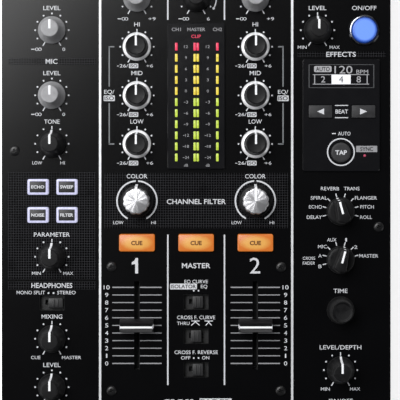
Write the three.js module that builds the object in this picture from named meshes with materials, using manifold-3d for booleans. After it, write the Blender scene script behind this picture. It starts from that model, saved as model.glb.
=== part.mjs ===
// A compact two-channel DJ mixer, in millimetres. The origin is on the table under the middle of the
// mixer, +X to the right of the person using it, +Y towards the sockets at the back, +Z up.
import * as THREE from "three";
import { mergeVertices } from "three/addons/utils/BufferGeometryUtils.js";
import Module from "manifold-3d";

const wasm = await Module();
wasm.setup();

// ---- driving dimensions -----------------------------------------------------------------------

const WIDTH = 230;
const FRONT_Y = -160;
const REAR_Y = 153; // the chassis ends here, and the sockets stand out to 160
const SOCKET_TIP_Y = 160;
const FOOT_HEIGHT = 8;
const PANEL_TOP_Z = 92.5;
const PANEL_THICKNESS = 2;
const SHEET = 1.6; // thickness of the folded steel
const GAP = 0.3; // between fixed pieces that rest on each other
const PLAY = 0.35; // around a piece that moves in a hole
const CORNER_RADIUS = 3;

const PANEL_UNDERSIDE_Z = PANEL_TOP_Z - PANEL_THICKNESS;
const WALL_TOP_Z = PANEL_UNDERSIDE_Z - GAP;
const FLOOR_TOP_Z = FOOT_HEIGHT + SHEET;

// The columns and rows of controls on the top panel.
const LEFT_X = -85.3;
const CHANNEL_X = { channel_1: -35, channel_2: 35 };
const RIGHT_X = 85.4;
const SEND_KNOB_X = 71.8;
const SEND_BUTTON_X = 99.4;
const SEND_Y = 93.3;
const GAIN_Y = 112.2;
const HIGH_Y = 83.5;
const MID_Y = 54.7;
const LOW_Y = 26;
const FILTER_Y = -7.7;
const CUE_Y = -32.4;
const FADER_Y = -81.3;
const CROSSFADER_Y = -142;
const INPUT_SWITCH_Y = 136;

// The circuit board under the panel, which carries the controls.
const CONTROL_BOARD = { x: [-108, 108], y: [-152, 147] };
const BOARD_THICKNESS = 1.6;
const BOARD_TOP_Z = 76;
const SHAFT_RADIUS = 3;
const SHAFT_BOTTOM_Z = 79;
const BEARING_RADIUS = 3.36; // its flats are just clear of the shaft
const BUSHING_RADIUS = 4.6;
const POT_SIZE = 11;
const POT_TOP_Z = 82.5;
const SHAFT_HOLE_RADIUS = 3.7;
const KNOB_BOTTOM_Z = PANEL_TOP_Z + 0.8;
const KNOB_TOP_Z = 108;
const KNOB_SIDES = 16;
const SMALL_SIDES = 8;
const JACK_SIDES = 12;

const BUTTON_TRAVEL = 0.8;
const TACT_SIZE = 6;
const TACT_TOP_Z = 84;
const STEM_SIZE = 3;
const STEM_BOTTOM_Z = TACT_TOP_Z + BUTTON_TRAVEL + PLAY;
const FLANGE_WIDTH = 1.2; // how far a button's hidden rim reaches past its hole
const FLANGE_HEIGHT = 2;

const FADER_SLOT = { width: 3, length: 52 };
const FADER_BODY = { width: 10, length: 66, top: 86 };
const FADER_CAP = { width: 20, length: 7.8, bottom: 94.7, top: 106.7 };
const FADER_BLADE = { width: 1.2, length: 4, bottom: 80 };

const SLIDER_RECESS = { width: 14.6, length: 9 };
const SLIDER_HOUSING = { width: 18, length: 12, top: 88.5 };
const SLIDER_SLOT = { width: 8.6, length: 3, bottom: 83.5 };
const SLIDER_STEM = { width: 3, length: 2, bottom: 84.5 };
const SLIDER_TOP_Z = 93.4;
const SLIDER_GROOVE = 1.2;

const WINDOW_THICKNESS = 1.3;
const METER_WINDOW = { x: 0, y: 54.35, width: 34, length: 86.3, radius: 1 };
const EFFECTS_WINDOW = { x: 85.7, y: 42.95, width: 45.6, length: 66.3, radius: 1.5 };
const WINDOW_TOP_Z = PANEL_TOP_Z + GAP + WINDOW_THICKNESS;

// ---- colours and finishes ---------------------------------------------------------------------

const FINISH = {
  panel: { color: 0x0b0b0c, roughness: 0.35, metalness: 0.3 },
  chassis: { color: 0x101011, roughness: 0.5, metalness: 0.4 },
  board: { color: 0x0f3d24, roughness: 0.6, metalness: 0 },
  window: { color: 0x050506, roughness: 0.08, metalness: 0 },
  blackKnob: { color: 0x161617, roughness: 0.6, metalness: 0 },
  greyKnob: { color: 0x7c7d80, roughness: 0.6, metalness: 0 },
  silverKnob: { color: 0xc9cacc, roughness: 0.3, metalness: 0.9 },
  cue: { color: 0xff9a3c, roughness: 0.4, metalness: 0 },
  blueLight: { color: 0x5f96ff, roughness: 0.3, metalness: 0 },
  paleButton: { color: 0xdcdcec, roughness: 0.4, metalness: 0 },
  darkButton: { color: 0x2a2a2c, roughness: 0.5, metalness: 0 },
  plastic: { color: 0x1a1a1b, roughness: 0.55, metalness: 0 },
  foot: { color: 0x0c0c0c, roughness: 0.9, metalness: 0 },
};

// ---- solids -----------------------------------------------------------------------------------

function toSolid(geometry) {
  const bare = geometry.clone();
  bare.deleteAttribute("normal");
  bare.deleteAttribute("uv");
  const merged = mergeVertices(bare, 1e-4);
  return new wasm.Manifold(
    new wasm.Mesh({
      numProp: 3,
      vertProperties: new Float32Array(merged.attributes.position.array),
      triVerts: new Uint32Array(merged.index.array),
    }),
  );
}

function toGeometry(solid) {
  const mesh = solid.getMesh();
  const geometry = new THREE.BufferGeometry();
  geometry.setAttribute("position", new THREE.BufferAttribute(mesh.vertProperties, 3));
  geometry.setIndex(new THREE.BufferAttribute(mesh.triVerts, 1));
  geometry.computeVertexNormals();
  return geometry;
}

function combine(added, removed = []) {
  let solid = toSolid(added[0]);
  for (const geometry of added.slice(1)) {
    solid = solid.add(toSolid(geometry));
  }
  for (const geometry of removed) {
    solid = solid.subtract(toSolid(geometry));
  }
  return toGeometry(solid);
}

function block(x, y, z) {
  const geometry = new THREE.BoxGeometry(x[1] - x[0], y[1] - y[0], z[1] - z[0]);
  return geometry.translate((x[0] + x[1]) / 2, (y[0] + y[1]) / 2, (z[0] + z[1]) / 2);
}

function centredBlock(x, y, width, length, bottom, top) {
  return block([x - width / 2, x + width / 2], [y - length / 2, y + length / 2], [bottom, top]);
}

function roundedRectangle(width, length, radius) {
  const shape = new THREE.Shape();
  const [right, back] = [width / 2 - radius, length / 2 - radius];
  shape.absarc(right, back, radius, 0, Math.PI / 2);
  shape.absarc(-right, back, radius, Math.PI / 2, Math.PI);
  shape.absarc(-right, -back, radius, Math.PI, 1.5 * Math.PI);
  shape.absarc(right, -back, radius, 1.5 * Math.PI, 2 * Math.PI);
  return shape;
}

// A plate with rounded corners, and a chamfer on its edges where bevel is given.
function slab(width, length, radius, bottom, top, { bevel = 0, cornerSteps = 1 } = {}) {
  const geometry = new THREE.ExtrudeGeometry(roundedRectangle(width, length, radius), {
    depth: top - bottom - 2 * bevel,
    curveSegments: cornerSteps,
    bevelEnabled: bevel > 0,
    bevelThickness: bevel,
    bevelSize: bevel,
    bevelOffset: -bevel,
    bevelSegments: 1,
  });
  return geometry.translate(0, 0, bottom + bevel);
}

// A round piece on the Z axis from a profile of [radius, height] that starts and ends on the axis.
function turned(profile, sides = KNOB_SIDES) {
  const points = profile.map(([radius, height]) => new THREE.Vector2(radius, height));
  return new THREE.LatheGeometry(points, sides).rotateX(Math.PI / 2);
}

function disc(radius, bottom, top, sides = KNOB_SIDES) {
  return turned([[0, bottom], [radius, bottom], [radius, top], [0, top]], sides);
}

// A barrel along +Y with a blind hole in its far end.
function socket({ radius, hole, depth, sides }, x, z, backY, tipY) {
  const length = tipY - backY;
  const floor = length - depth;
  const profile = [[0, 0], [radius, 0], [radius, length], [hole, length], [hole, floor], [0, floor]];
  const points = profile.map(([reach, height]) => new THREE.Vector2(reach, height));
  return new THREE.LatheGeometry(points, sides).translate(x, backY, z);
}

// ---- controls ---------------------------------------------------------------------------------

const group = new THREE.Group();
group.name = "dj_mixer";

function place(name, finish, geometry, x = 0, y = 0) {
  const mesh = new THREE.Mesh(geometry, new THREE.MeshStandardMaterial(FINISH[finish]));
  mesh.name = name;
  mesh.position.set(x, y, 0);
  group.add(mesh);
  return mesh;
}

const shaftProfile = [[0, SHAFT_BOTTOM_Z], [SHAFT_RADIUS, SHAFT_BOTTOM_Z], [SHAFT_RADIUS, KNOB_BOTTOM_Z]];

// A rubber knob that flares out into a skirt.
function flaredKnob() {
  return turned([
    ...shaftProfile,
    [8.15, KNOB_BOTTOM_Z],
    [7.9, KNOB_BOTTOM_Z + 1.8],
    [5.4, KNOB_BOTTOM_Z + 6.5],
    [4.8, KNOB_TOP_Z],
    [0, KNOB_TOP_Z],
  ]);
}

// A wide knob in a bright conical ring.
function ringedKnob() {
  return turned([
    ...shaftProfile,
    [8.45, KNOB_BOTTOM_Z],
    [8.2, KNOB_BOTTOM_Z + 1],
    [6.2, KNOB_BOTTOM_Z + 5.5],
    [5.6, KNOB_TOP_Z - 0.4],
    [0, KNOB_TOP_Z - 0.4],
  ]);
}

// A large metal cap on a thin skirt, with a bar that points to the dial.
function filterKnob() {
  const capTop = KNOB_BOTTOM_Z + 13.2;
  const cap = turned([
    ...shaftProfile,
    [9.6, KNOB_BOTTOM_Z],
    [9.2, KNOB_BOTTOM_Z + 1.6],
    [8.1, KNOB_BOTTOM_Z + 2],
    [7.6, capTop],
    [0, capTop],
  ]);
  const pointer = block([-1.25, 1.25], [0, 9], [KNOB_BOTTOM_Z + 1, capTop + 0.6]);
  return combine([cap, pointer]);
}

// A disc with a raised grip that narrows towards its pointer.
const SELECTOR_GRIP = { tail: 7.7, shoulder: 6.4, tip: 7.2, halfTail: 4.3, halfTip: 2.7 };

function selectorKnob(turn) {
  const skirtTop = KNOB_BOTTOM_Z + 3.5;
  const skirt = turned([
    ...shaftProfile,
    [8.2, KNOB_BOTTOM_Z],
    [7.9, skirtTop],
    [0, skirtTop],
  ]);
  const { tail, shoulder, tip, halfTail, halfTip } = SELECTOR_GRIP;
  const outline = new THREE.Shape();
  outline.moveTo(-halfTail, -shoulder);
  outline.lineTo(0, -tail);
  outline.lineTo(halfTail, -shoulder);
  outline.lineTo(halfTip, tip);
  outline.lineTo(-halfTip, tip);
  const height = KNOB_TOP_Z - skirtTop + 1;
  const grip = new THREE.ExtrudeGeometry(outline, { depth: height, bevelEnabled: false });
  grip.translate(0, 0, skirtTop - 1);
  return combine([skirt, grip]).rotateZ(THREE.MathUtils.degToRad(turn));
}

function dishedKnob() {
  return turned([
    ...shaftProfile,
    [8.15, KNOB_BOTTOM_Z],
    [7.9, KNOB_BOTTOM_Z + 1.8],
    [6.6, KNOB_BOTTOM_Z + 6.5],
    [6.3, KNOB_TOP_Z - 1],
    [5.6, KNOB_TOP_Z - 1],
    [0, KNOB_TOP_Z - 1.8],
  ]);
}

const knobs = [
  { name: "aux_level_knob", x: LEFT_X, y: 93.3, finish: "greyKnob", make: flaredKnob },
  { name: "mic_level_knob", x: LEFT_X, y: 54.8, finish: "greyKnob", make: flaredKnob },
  { name: "mic_tone_knob", x: LEFT_X, y: 26.1, finish: "blackKnob", make: flaredKnob },
  { name: "effect_parameter_knob", x: LEFT_X, y: -40.7, finish: "blackKnob", make: flaredKnob },
  { name: "headphone_mix_knob", x: LEFT_X, y: -89.2, finish: "blackKnob", make: flaredKnob },
  { name: "headphone_level_knob", x: LEFT_X, y: -117.8, finish: "blackKnob", make: flaredKnob },
  { name: "master_level_knob", x: 0, y: GAIN_Y, finish: "blackKnob", make: flaredKnob },
  { name: "booth_level_knob", x: 0, y: 139, finish: "blackKnob", make: flaredKnob },
  { name: "send_level_knob", x: SEND_KNOB_X, y: SEND_Y, finish: "blackKnob", make: flaredKnob },
  { name: "level_depth_knob", x: RIGHT_X, y: -107.7, finish: "blackKnob", make: flaredKnob },
  { name: "effect_select_knob", x: RIGHT_X, y: -13.9, finish: "blackKnob", make: () => selectorKnob(15) },
  { name: "channel_select_knob", x: RIGHT_X, y: -42.6, finish: "blackKnob", make: () => selectorKnob(-15) },
  { name: "time_knob", x: RIGHT_X, y: -72.3, finish: "blackKnob", make: dishedKnob },
];

for (const [channel, x] of Object.entries(CHANNEL_X)) {
  knobs.push({ name: `${channel}_gain_knob`, x, y: GAIN_Y, finish: "greyKnob", make: flaredKnob });
  knobs.push({ name: `${channel}_high_knob`, x, y: HIGH_Y, finish: "silverKnob", make: ringedKnob });
  knobs.push({ name: `${channel}_mid_knob`, x, y: MID_Y, finish: "silverKnob", make: ringedKnob });
  knobs.push({ name: `${channel}_low_knob`, x, y: LOW_Y, finish: "silverKnob", make: ringedKnob });
  knobs.push({ name: `${channel}_filter_knob`, x, y: FILTER_Y, finish: "silverKnob", make: filterKnob });
}

const EFFECT_KEY = { width: 12.4, length: 9.5, top: PANEL_TOP_Z + 2 };
const CUE_KEY = { width: 20.9, length: 10.1, top: PANEL_TOP_Z + 2.4 };
const BEAT_KEY = { width: 13.9, length: 7.4, top: WINDOW_TOP_Z + 1 };
const KEY_RADIUS = 1;
const KEY_BEVEL = 0.5;

const keys = [
  { name: "echo_button", x: -93.5, y: 0.6, size: EFFECT_KEY, finish: "paleButton" },
  { name: "sweep_button", x: -76.4, y: 0.6, size: EFFECT_KEY, finish: "paleButton" },
  { name: "noise_button", x: -93.5, y: -16, size: EFFECT_KEY, finish: "paleButton" },
  { name: "filter_button", x: -76.4, y: -16, size: EFFECT_KEY, finish: "paleButton" },
  { name: "channel_1_cue_button", x: CHANNEL_X.channel_1, y: CUE_Y, size: CUE_KEY, finish: "cue" },
  { name: "master_cue_button", x: 0, y: CUE_Y, size: CUE_KEY, finish: "cue" },
  { name: "channel_2_cue_button", x: CHANNEL_X.channel_2, y: CUE_Y, size: CUE_KEY, finish: "cue" },
  { name: "beat_down_button", x: 73.4, y: 45.1, size: BEAT_KEY, finish: "darkButton" },
  { name: "beat_up_button", x: 98.8, y: 45.1, size: BEAT_KEY, finish: "darkButton" },
];

function keyHole({ width, length }) {
  return slab(width + 2 * PLAY, length + 2 * PLAY, KEY_RADIUS, PANEL_UNDERSIDE_Z - 1, WINDOW_TOP_Z + 1);
}

// A key with a hidden rim under the panel, and a stem down to its switch.
function key({ width, length, top }) {
  const rimTop = PANEL_UNDERSIDE_Z - GAP;
  const rimReach = 2 * (PLAY + FLANGE_WIDTH);
  const cap = slab(width, length, KEY_RADIUS, rimTop - FLANGE_HEIGHT, top, { bevel: KEY_BEVEL });
  const rim = slab(width + rimReach, length + rimReach, KEY_RADIUS, rimTop - FLANGE_HEIGHT, rimTop);
  const stem = centredBlock(0, 0, STEM_SIZE, STEM_SIZE, STEM_BOTTOM_Z, rimTop - FLANGE_HEIGHT / 2);
  return combine([cap, rim, stem]);
}

const LENS_TOP_Z = PANEL_TOP_Z + 3;
const roundButtons = [
  { name: "send_button", x: SEND_BUTTON_X, y: SEND_Y, radius: 7.3, top: LENS_TOP_Z, finish: "blueLight" },
  { name: "tap_button", x: 85.5, y: 20.9, radius: 5.9, top: WINDOW_TOP_Z + 1.4, finish: "darkButton" },
  { name: "effect_button", x: RIGHT_X, y: -139.5, radius: 8.6, top: LENS_TOP_Z, finish: "blueLight" },
];

function roundHole(radius) {
  return disc(radius, PANEL_UNDERSIDE_Z - 1, WINDOW_TOP_Z + 1);
}

function roundButton({ radius, top }) {
  const rimTop = PANEL_UNDERSIDE_Z - GAP;
  const rimRadius = radius + PLAY + FLANGE_WIDTH;
  return turned([
    [0, STEM_BOTTOM_Z],
    [2, STEM_BOTTOM_Z],
    [2, rimTop - FLANGE_HEIGHT],
    [rimRadius, rimTop - FLANGE_HEIGHT],
    [rimRadius, rimTop],
    [radius, rimTop],
    [radius, top - 0.6],
    [radius - 0.6, top],
    [0, top],
  ]);
}

// Every slide switch moves along X. restX is where its slider stands from the middle of the recess.
const SLIDER_CAP = { width: 6.3, length: 7.2 };
const WIDE_CAP = { width: 8.7, length: 5.8 };
const sliders = [
  { name: "aux_source_switch", x: LEFT_X, y: 118.5, restX: 1, cap: SLIDER_CAP },
  { name: "headphone_mode_switch", x: LEFT_X, y: -68, restX: 2.2, cap: WIDE_CAP },
  { name: "channel_1_input_switch", x: CHANNEL_X.channel_1, y: INPUT_SWITCH_Y, restX: 0, cap: SLIDER_CAP },
  { name: "channel_2_input_switch", x: CHANNEL_X.channel_2, y: INPUT_SWITCH_Y, restX: 0, cap: SLIDER_CAP },
  { name: "eq_curve_switch", x: 0, y: -67.5, restX: 1, cap: SLIDER_CAP },
  { name: "crossfader_curve_switch", x: 0, y: -87.7, restX: 0, cap: SLIDER_CAP },
  { name: "crossfader_reverse_switch", x: 0, y: -107.5, restX: 1, cap: SLIDER_CAP },
];

function slider({ cap, restX }) {
  const capBottom = SLIDER_HOUSING.top + GAP;
  const body = centredBlock(0, 0, cap.width, cap.length, capBottom, SLIDER_TOP_Z);
  const stem = centredBlock(0, 0, SLIDER_STEM.width, SLIDER_STEM.length, SLIDER_STEM.bottom, capBottom + 1);
  const groove = centredBlock(0, 0, SLIDER_GROOVE, cap.length + 1, SLIDER_TOP_Z - 1, SLIDER_TOP_Z + 1);
  return combine([body, stem], [groove]).translate(restX, 0, 0);
}

const faders = [
  { name: "channel_1_fader", x: CHANNEL_X.channel_1, y: FADER_Y, turn: 0 },
  { name: "channel_2_fader", x: CHANNEL_X.channel_2, y: FADER_Y, turn: 0 },
  { name: "crossfader", x: 0, y: CROSSFADER_Y, turn: 90 },
];

// A cap with sloped sides and a dished top, on a blade that reaches down through the slot.
function faderCap() {
  const { width, length, bottom, top } = FADER_CAP;
  const side = new THREE.Shape();
  side.moveTo(-length / 2, bottom);
  side.lineTo(length / 2, bottom);
  side.lineTo(length / 2 - 0.3, bottom + 3);
  side.lineTo(length / 2 - 1.05, top);
  side.quadraticCurveTo(0, top - 2.4, -length / 2 + 1.05, top);
  side.lineTo(-length / 2 + 0.3, bottom + 3);
  const cap = new THREE.ExtrudeGeometry(side, { depth: width, curveSegments: 4, bevelEnabled: false });
  cap.rotateX(Math.PI / 2).rotateZ(Math.PI / 2).translate(-width / 2, 0, 0);
  const { width: thickness, length: depth, bottom: bladeBottom } = FADER_BLADE;
  return combine([cap, centredBlock(0, 0, thickness, depth, bladeBottom, bottom + 2)]);
}

function turnQuarter(geometry, turn, x, y) {
  return geometry.rotateZ(THREE.MathUtils.degToRad(turn)).translate(x, y, 0);
}

// ---- the board that carries the controls ------------------------------------------------------

function controlBoard() {
  const bottom = BOARD_TOP_Z - BOARD_THICKNESS;
  const sink = BOARD_TOP_Z - 0.5; // parts are joined a little way into the board
  const added = [block(CONTROL_BOARD.x, CONTROL_BOARD.y, [bottom, BOARD_TOP_Z])];
  const removed = [];
  for (const { x, y } of knobs) {
    added.push(centredBlock(x, y, POT_SIZE, POT_SIZE, sink, POT_TOP_Z));
    added.push(disc(BUSHING_RADIUS, POT_TOP_Z - 0.5, WALL_TOP_Z, SMALL_SIDES).translate(x, y, 0));
    removed.push(disc(BEARING_RADIUS, SHAFT_BOTTOM_Z - 0.5, WALL_TOP_Z + 1, SMALL_SIDES).translate(x, y, 0));
  }
  for (const { x, y } of [...keys, ...roundButtons]) {
    added.push(centredBlock(x, y, TACT_SIZE, TACT_SIZE, sink, TACT_TOP_Z));
  }
  const [housing, slot] = [SLIDER_HOUSING, SLIDER_SLOT];
  for (const { x, y } of sliders) {
    added.push(centredBlock(x, y, housing.width, housing.length, sink, housing.top));
    removed.push(centredBlock(x, y, slot.width, slot.length, slot.bottom, WALL_TOP_Z));
  }
  for (const { x, y, turn } of faders) {
    const body = centredBlock(0, 0, FADER_BODY.width, FADER_BODY.length, sink, FADER_BODY.top);
    const track = centredBlock(0, 0, 2, FADER_SLOT.length, FADER_BLADE.bottom - 1, WALL_TOP_Z);
    added.push(turnQuarter(body, turn, x, y));
    removed.push(turnQuarter(track, turn, x, y));
  }
  return combine(added, removed);
}

// ---- panels -----------------------------------------------------------------------------------

function topPanel() {
  const depth = REAR_Y - FRONT_Y;
  const middle = (REAR_Y + FRONT_Y) / 2;
  const rounded = { cornerSteps: 4 };
  const plate = slab(WIDTH, depth, CORNER_RADIUS, PANEL_UNDERSIDE_Z, PANEL_TOP_Z, rounded);
  plate.translate(0, middle, 0);
  const [low, high] = [PANEL_UNDERSIDE_Z - 1, PANEL_TOP_Z + 1];
  const holes = [];
  for (const { x, y } of knobs) {
    holes.push(disc(SHAFT_HOLE_RADIUS, low, high, SMALL_SIDES).translate(x, y, 0));
  }
  for (const { x, y, size } of keys) {
    holes.push(keyHole(size).translate(x, y, 0));
  }
  for (const { x, y, radius } of roundButtons) {
    holes.push(roundHole(radius + PLAY).translate(x, y, 0));
  }
  for (const { x, y } of sliders) {
    holes.push(centredBlock(x, y, SLIDER_RECESS.width, SLIDER_RECESS.length, low, high));
  }
  for (const { x, y, turn } of faders) {
    const slot = centredBlock(0, 0, FADER_SLOT.width, FADER_SLOT.length, low, high);
    holes.push(turnQuarter(slot, turn, x, y));
  }
  return combine([plate], holes);
}

function windowPlate({ x, y, width, length, radius }) {
  return slab(width, length, radius, PANEL_TOP_Z + GAP, WINDOW_TOP_Z, { cornerSteps: 3 }).translate(x, y, 0);
}

function effectsWindow() {
  const holes = [];
  for (const { x, y, size } of keys.filter(({ name }) => name.startsWith("beat_"))) {
    holes.push(keyHole(size).translate(x, y, 0));
  }
  for (const { x, y, radius } of roundButtons.filter(({ name }) => name === "tap_button")) {
    holes.push(roundHole(radius + PLAY).translate(x, y, 0));
  }
  return combine([windowPlate(EFFECTS_WINDOW)], holes);
}

// The floor and both side walls, folded from one sheet, with posts for the power supply.
const SUPPLY = { x: [5, 104], y: [-70, 60], bottom: 14 };
const POST = { radius: 3, inset: 5 };

function basePan() {
  const half = WIDTH / 2;
  const length = [FRONT_Y, REAR_Y];
  const added = [
    block([-half, half], length, [FOOT_HEIGHT, FLOOR_TOP_Z]),
    block([-half, -half + SHEET], length, [FOOT_HEIGHT, WALL_TOP_Z]),
    block([half - SHEET, half], length, [FOOT_HEIGHT, WALL_TOP_Z]),
  ];
  for (const x of [SUPPLY.x[0] + POST.inset, SUPPLY.x[1] - POST.inset]) {
    for (const y of [SUPPLY.y[0] + POST.inset, SUPPLY.y[1] - POST.inset]) {
      const post = disc(POST.radius, FOOT_HEIGHT + 1, SUPPLY.bottom - GAP, SMALL_SIDES);
      added.push(post.translate(x, y, 0));
    }
  }
  return combine(added);
}

const INSIDE_HALF_WIDTH = WIDTH / 2 - SHEET - GAP;
const PHONES_Z = 45;
const QUARTER_INCH_JACK = { radius: 6, hole: 3.3, depth: 28, sides: JACK_SIDES };
const MINI_JACK = { radius: 4.2, hole: 1.9, depth: 15, sides: SMALL_SIDES };
const phonesJacks = [
  { kind: QUARTER_INCH_JACK, x: -94 },
  { kind: MINI_JACK, x: -72 },
];

function frontPanel() {
  const wall = block(
    [-INSIDE_HALF_WIDTH, INSIDE_HALF_WIDTH],
    [FRONT_Y, FRONT_Y + SHEET],
    [FLOOR_TOP_Z + GAP, WALL_TOP_Z],
  );
  const barrels = [];
  const holes = [];
  for (const { kind, x } of phonesJacks) {
    const length = kind.depth + 3;
    barrels.push(socket(kind, -x, PHONES_Z, 0, length).rotateZ(Math.PI).translate(0, FRONT_Y + length, 0));
    const hole = disc(kind.hole, 0, SHEET + 2, kind.sides).rotateX(Math.PI / 2);
    holes.push(hole.translate(x, FRONT_Y + SHEET + 1, PHONES_Z));
  }
  return combine([wall, ...barrels], holes);
}

// ---- the back: sockets, mains inlet and power switch -------------------------------------------

const BACK_BOARD = { x: [-109, 52], y: 128, z: [13, 71] };
const UPPER_ROW_Z = 57;
const LOWER_ROW_Z = 28;
const PAIR_HALF = 7.5; // half the spacing of a red and white pair
const PHONO_SOCKET = { radius: 4.15, hole: 1.6, depth: 6, sides: SMALL_SIDES };
const BALANCED_SOCKET = { radius: 12, hole: 9.5, depth: 14, sides: 16 };
const COMBO_SOCKET = { radius: 12, hole: 3.3, depth: 20, sides: JACK_SIDES };
const BOOTH_SOCKET = { radius: 5.5, hole: 3.3, depth: 20, sides: JACK_SIDES };
const FLUSH_TIP_Y = REAR_Y + 1.5;

function pair(x, z) {
  return [-PAIR_HALF, PAIR_HALF].map((dz) => ({ kind: PHONO_SOCKET, x, z: z + dz, tip: SOCKET_TIP_Y }));
}

const sockets = [
  { kind: COMBO_SOCKET, x: -94, z: UPPER_ROW_Z, tip: FLUSH_TIP_Y },
  { kind: BALANCED_SOCKET, x: -94, z: LOWER_ROW_Z, tip: FLUSH_TIP_Y },
  { kind: BALANCED_SOCKET, x: -66, z: LOWER_ROW_Z, tip: FLUSH_TIP_Y },
  { kind: BOOTH_SOCKET, x: -42, z: LOWER_ROW_Z, tip: FLUSH_TIP_Y },
  { kind: BOOTH_SOCKET, x: -24, z: LOWER_ROW_Z, tip: FLUSH_TIP_Y },
  ...pair(-68, UPPER_ROW_Z),
  ...pair(-43, UPPER_ROW_Z),
  ...pair(-27, UPPER_ROW_Z),
  ...pair(27, UPPER_ROW_Z),
  ...pair(43, UPPER_ROW_Z),
  ...pair(4, LOWER_ROW_Z),
];
const USB = { x: 0, z: UPPER_ROW_Z, width: 12, height: 11, holeWidth: 8.6, holeHeight: 7.8, depth: 10 };

// A block through y that is centred on x and z.
function uprightBlock(x, z, width, height, y) {
  return block([x - width / 2, x + width / 2], y, [z - height / 2, z + height / 2]);
}

function inputOutputBoard() {
  const joinY = BACK_BOARD.y + 1;
  const added = [block(BACK_BOARD.x, [BACK_BOARD.y, BACK_BOARD.y + BOARD_THICKNESS], BACK_BOARD.z)];
  for (const { kind, x, z, tip } of sockets) {
    added.push(socket(kind, x, z, joinY, tip));
  }
  const face = REAR_Y + 0.5;
  added.push(uprightBlock(USB.x, USB.z, USB.width, USB.height, [joinY, face]));
  const mouthY = [face - USB.depth, face + 1];
  return combine(added, [uprightBlock(USB.x, USB.z, USB.holeWidth, USB.holeHeight, mouthY)]);
}

const INLET = { x: 72, z: 44, holeWidth: 24, holeHeight: 16, depth: 16 };
const ROCKER = { x: 96, z: INLET.z, width: 13, halfHeight: 9.6, pivotY: 147, turn: 8 };
const ROCKER_FACE = { middle: 5.2, tip: 6.6, back: 3.5 }; // how far these lie behind the pivot
const ROCKER_HEEL = { back: -2.5, halfHeight: 4 };
const ROCKER_POCKET = { width: ROCKER.width + 2 * PLAY, height: 21.6, depth: 14 };
const MODULE = { x: [57, 106], height: 25, backY: 132, rim: 2.5, frontY: REAR_Y + 1.8 };

function powerInlet() {
  const { rim, height, backY, frontY } = MODULE;
  const [middle, width] = [(MODULE.x[0] + MODULE.x[1]) / 2, MODULE.x[1] - MODULE.x[0]];
  const added = [
    uprightBlock(middle, INLET.z, width, height, [backY, frontY - 0.5]),
    uprightBlock(middle, INLET.z, width + 2 * rim, height + 2 * rim, [REAR_Y + GAP, frontY]),
  ];
  const inletY = [frontY - INLET.depth, frontY + 1];
  const pocketY = [frontY - ROCKER_POCKET.depth, frontY + 1];
  const removed = [
    uprightBlock(INLET.x, INLET.z, INLET.holeWidth, INLET.holeHeight, inletY),
    uprightBlock(ROCKER.x, ROCKER.z, ROCKER_POCKET.width, ROCKER_POCKET.height, pocketY),
  ];
  return combine(added, removed);
}

// The rocker's outline is drawn about its pivot, with its face bent so that one half is always in.
function powerRocker() {
  const { halfHeight, width, turn } = ROCKER;
  const outline = new THREE.Shape();
  outline.moveTo(ROCKER_FACE.middle, 0);
  outline.lineTo(ROCKER_FACE.tip, halfHeight);
  outline.lineTo(ROCKER_FACE.back, halfHeight);
  outline.lineTo(ROCKER_HEEL.back, ROCKER_HEEL.halfHeight);
  outline.lineTo(ROCKER_HEEL.back, -ROCKER_HEEL.halfHeight);
  outline.lineTo(ROCKER_FACE.back, -halfHeight);
  outline.lineTo(ROCKER_FACE.tip, -halfHeight);
  const geometry = new THREE.ExtrudeGeometry(outline, { depth: width, bevelEnabled: false });
  geometry.translate(0, 0, -width / 2);
  geometry.rotateY(Math.PI / 2).rotateX(Math.PI / 2); // the outline's first axis now runs along +Y
  geometry.rotateX(THREE.MathUtils.degToRad(turn));
  return geometry.translate(0, ROCKER.pivotY, ROCKER.z);
}

function rearPanel() {
  const wall = block(
    [-INSIDE_HALF_WIDTH, INSIDE_HALF_WIDTH],
    [REAR_Y - SHEET, REAR_Y],
    [FLOOR_TOP_Z + GAP, WALL_TOP_Z],
  );
  const throughY = [REAR_Y - SHEET - 1, REAR_Y + 1];
  const holes = sockets.map(({ kind, x, z }) => {
    const hole = disc(kind.radius + PLAY, 0, SHEET + 2, kind.sides).rotateX(Math.PI / 2);
    return hole.translate(x, throughY[1], z);
  });
  const [middle, width] = [(MODULE.x[0] + MODULE.x[1]) / 2, MODULE.x[1] - MODULE.x[0]];
  holes.push(uprightBlock(USB.x, USB.z, USB.width + 2 * PLAY, USB.height + 2 * PLAY, throughY));
  holes.push(uprightBlock(middle, INLET.z, width + 2 * PLAY, MODULE.height + 2 * PLAY, throughY));
  return combine([wall], holes);
}

// ---- the power supply -------------------------------------------------------------------------

const TRANSFORMER = { x: 80, y: -35, width: 36, length: 40, height: 30 };
const HEAT_SINK = { x: 40, y: 40, width: 44, length: 6, height: 24 };
const MAINS_FILTER = { x: 84, y: 25, width: 18, length: 14, height: 16 };
const CAPACITORS = [
  { x: 30, y: -45, radius: 9, height: 26 },
  { x: 30, y: -15, radius: 6.5, height: 20 },
  { x: 30, y: 5, radius: 6.5, height: 20 },
];

function powerSupplyBoard() {
  const top = SUPPLY.bottom + BOARD_THICKNESS;
  const sink = top - 0.5;
  const added = [block(SUPPLY.x, SUPPLY.y, [SUPPLY.bottom, top])];
  for (const { x, y, width, length, height } of [TRANSFORMER, HEAT_SINK, MAINS_FILTER]) {
    added.push(centredBlock(x, y, width, length, sink, top + height));
  }
  for (const { x, y, radius, height } of CAPACITORS) {
    added.push(disc(radius, sink, top + height, SMALL_SIDES).translate(x, y, 0));
  }
  return combine(added);
}

// ---- feet -------------------------------------------------------------------------------------

const FOOT = { radius: 10, x: 95, frontY: -138, rearY: 131 };

function foot() {
  const [radius, top] = [FOOT.radius, FOOT_HEIGHT - GAP];
  return turned([[0, 0], [radius - 1, 0], [radius, 2], [radius, top], [0, top]]);
}

// ---- assembly ---------------------------------------------------------------------------------

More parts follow.
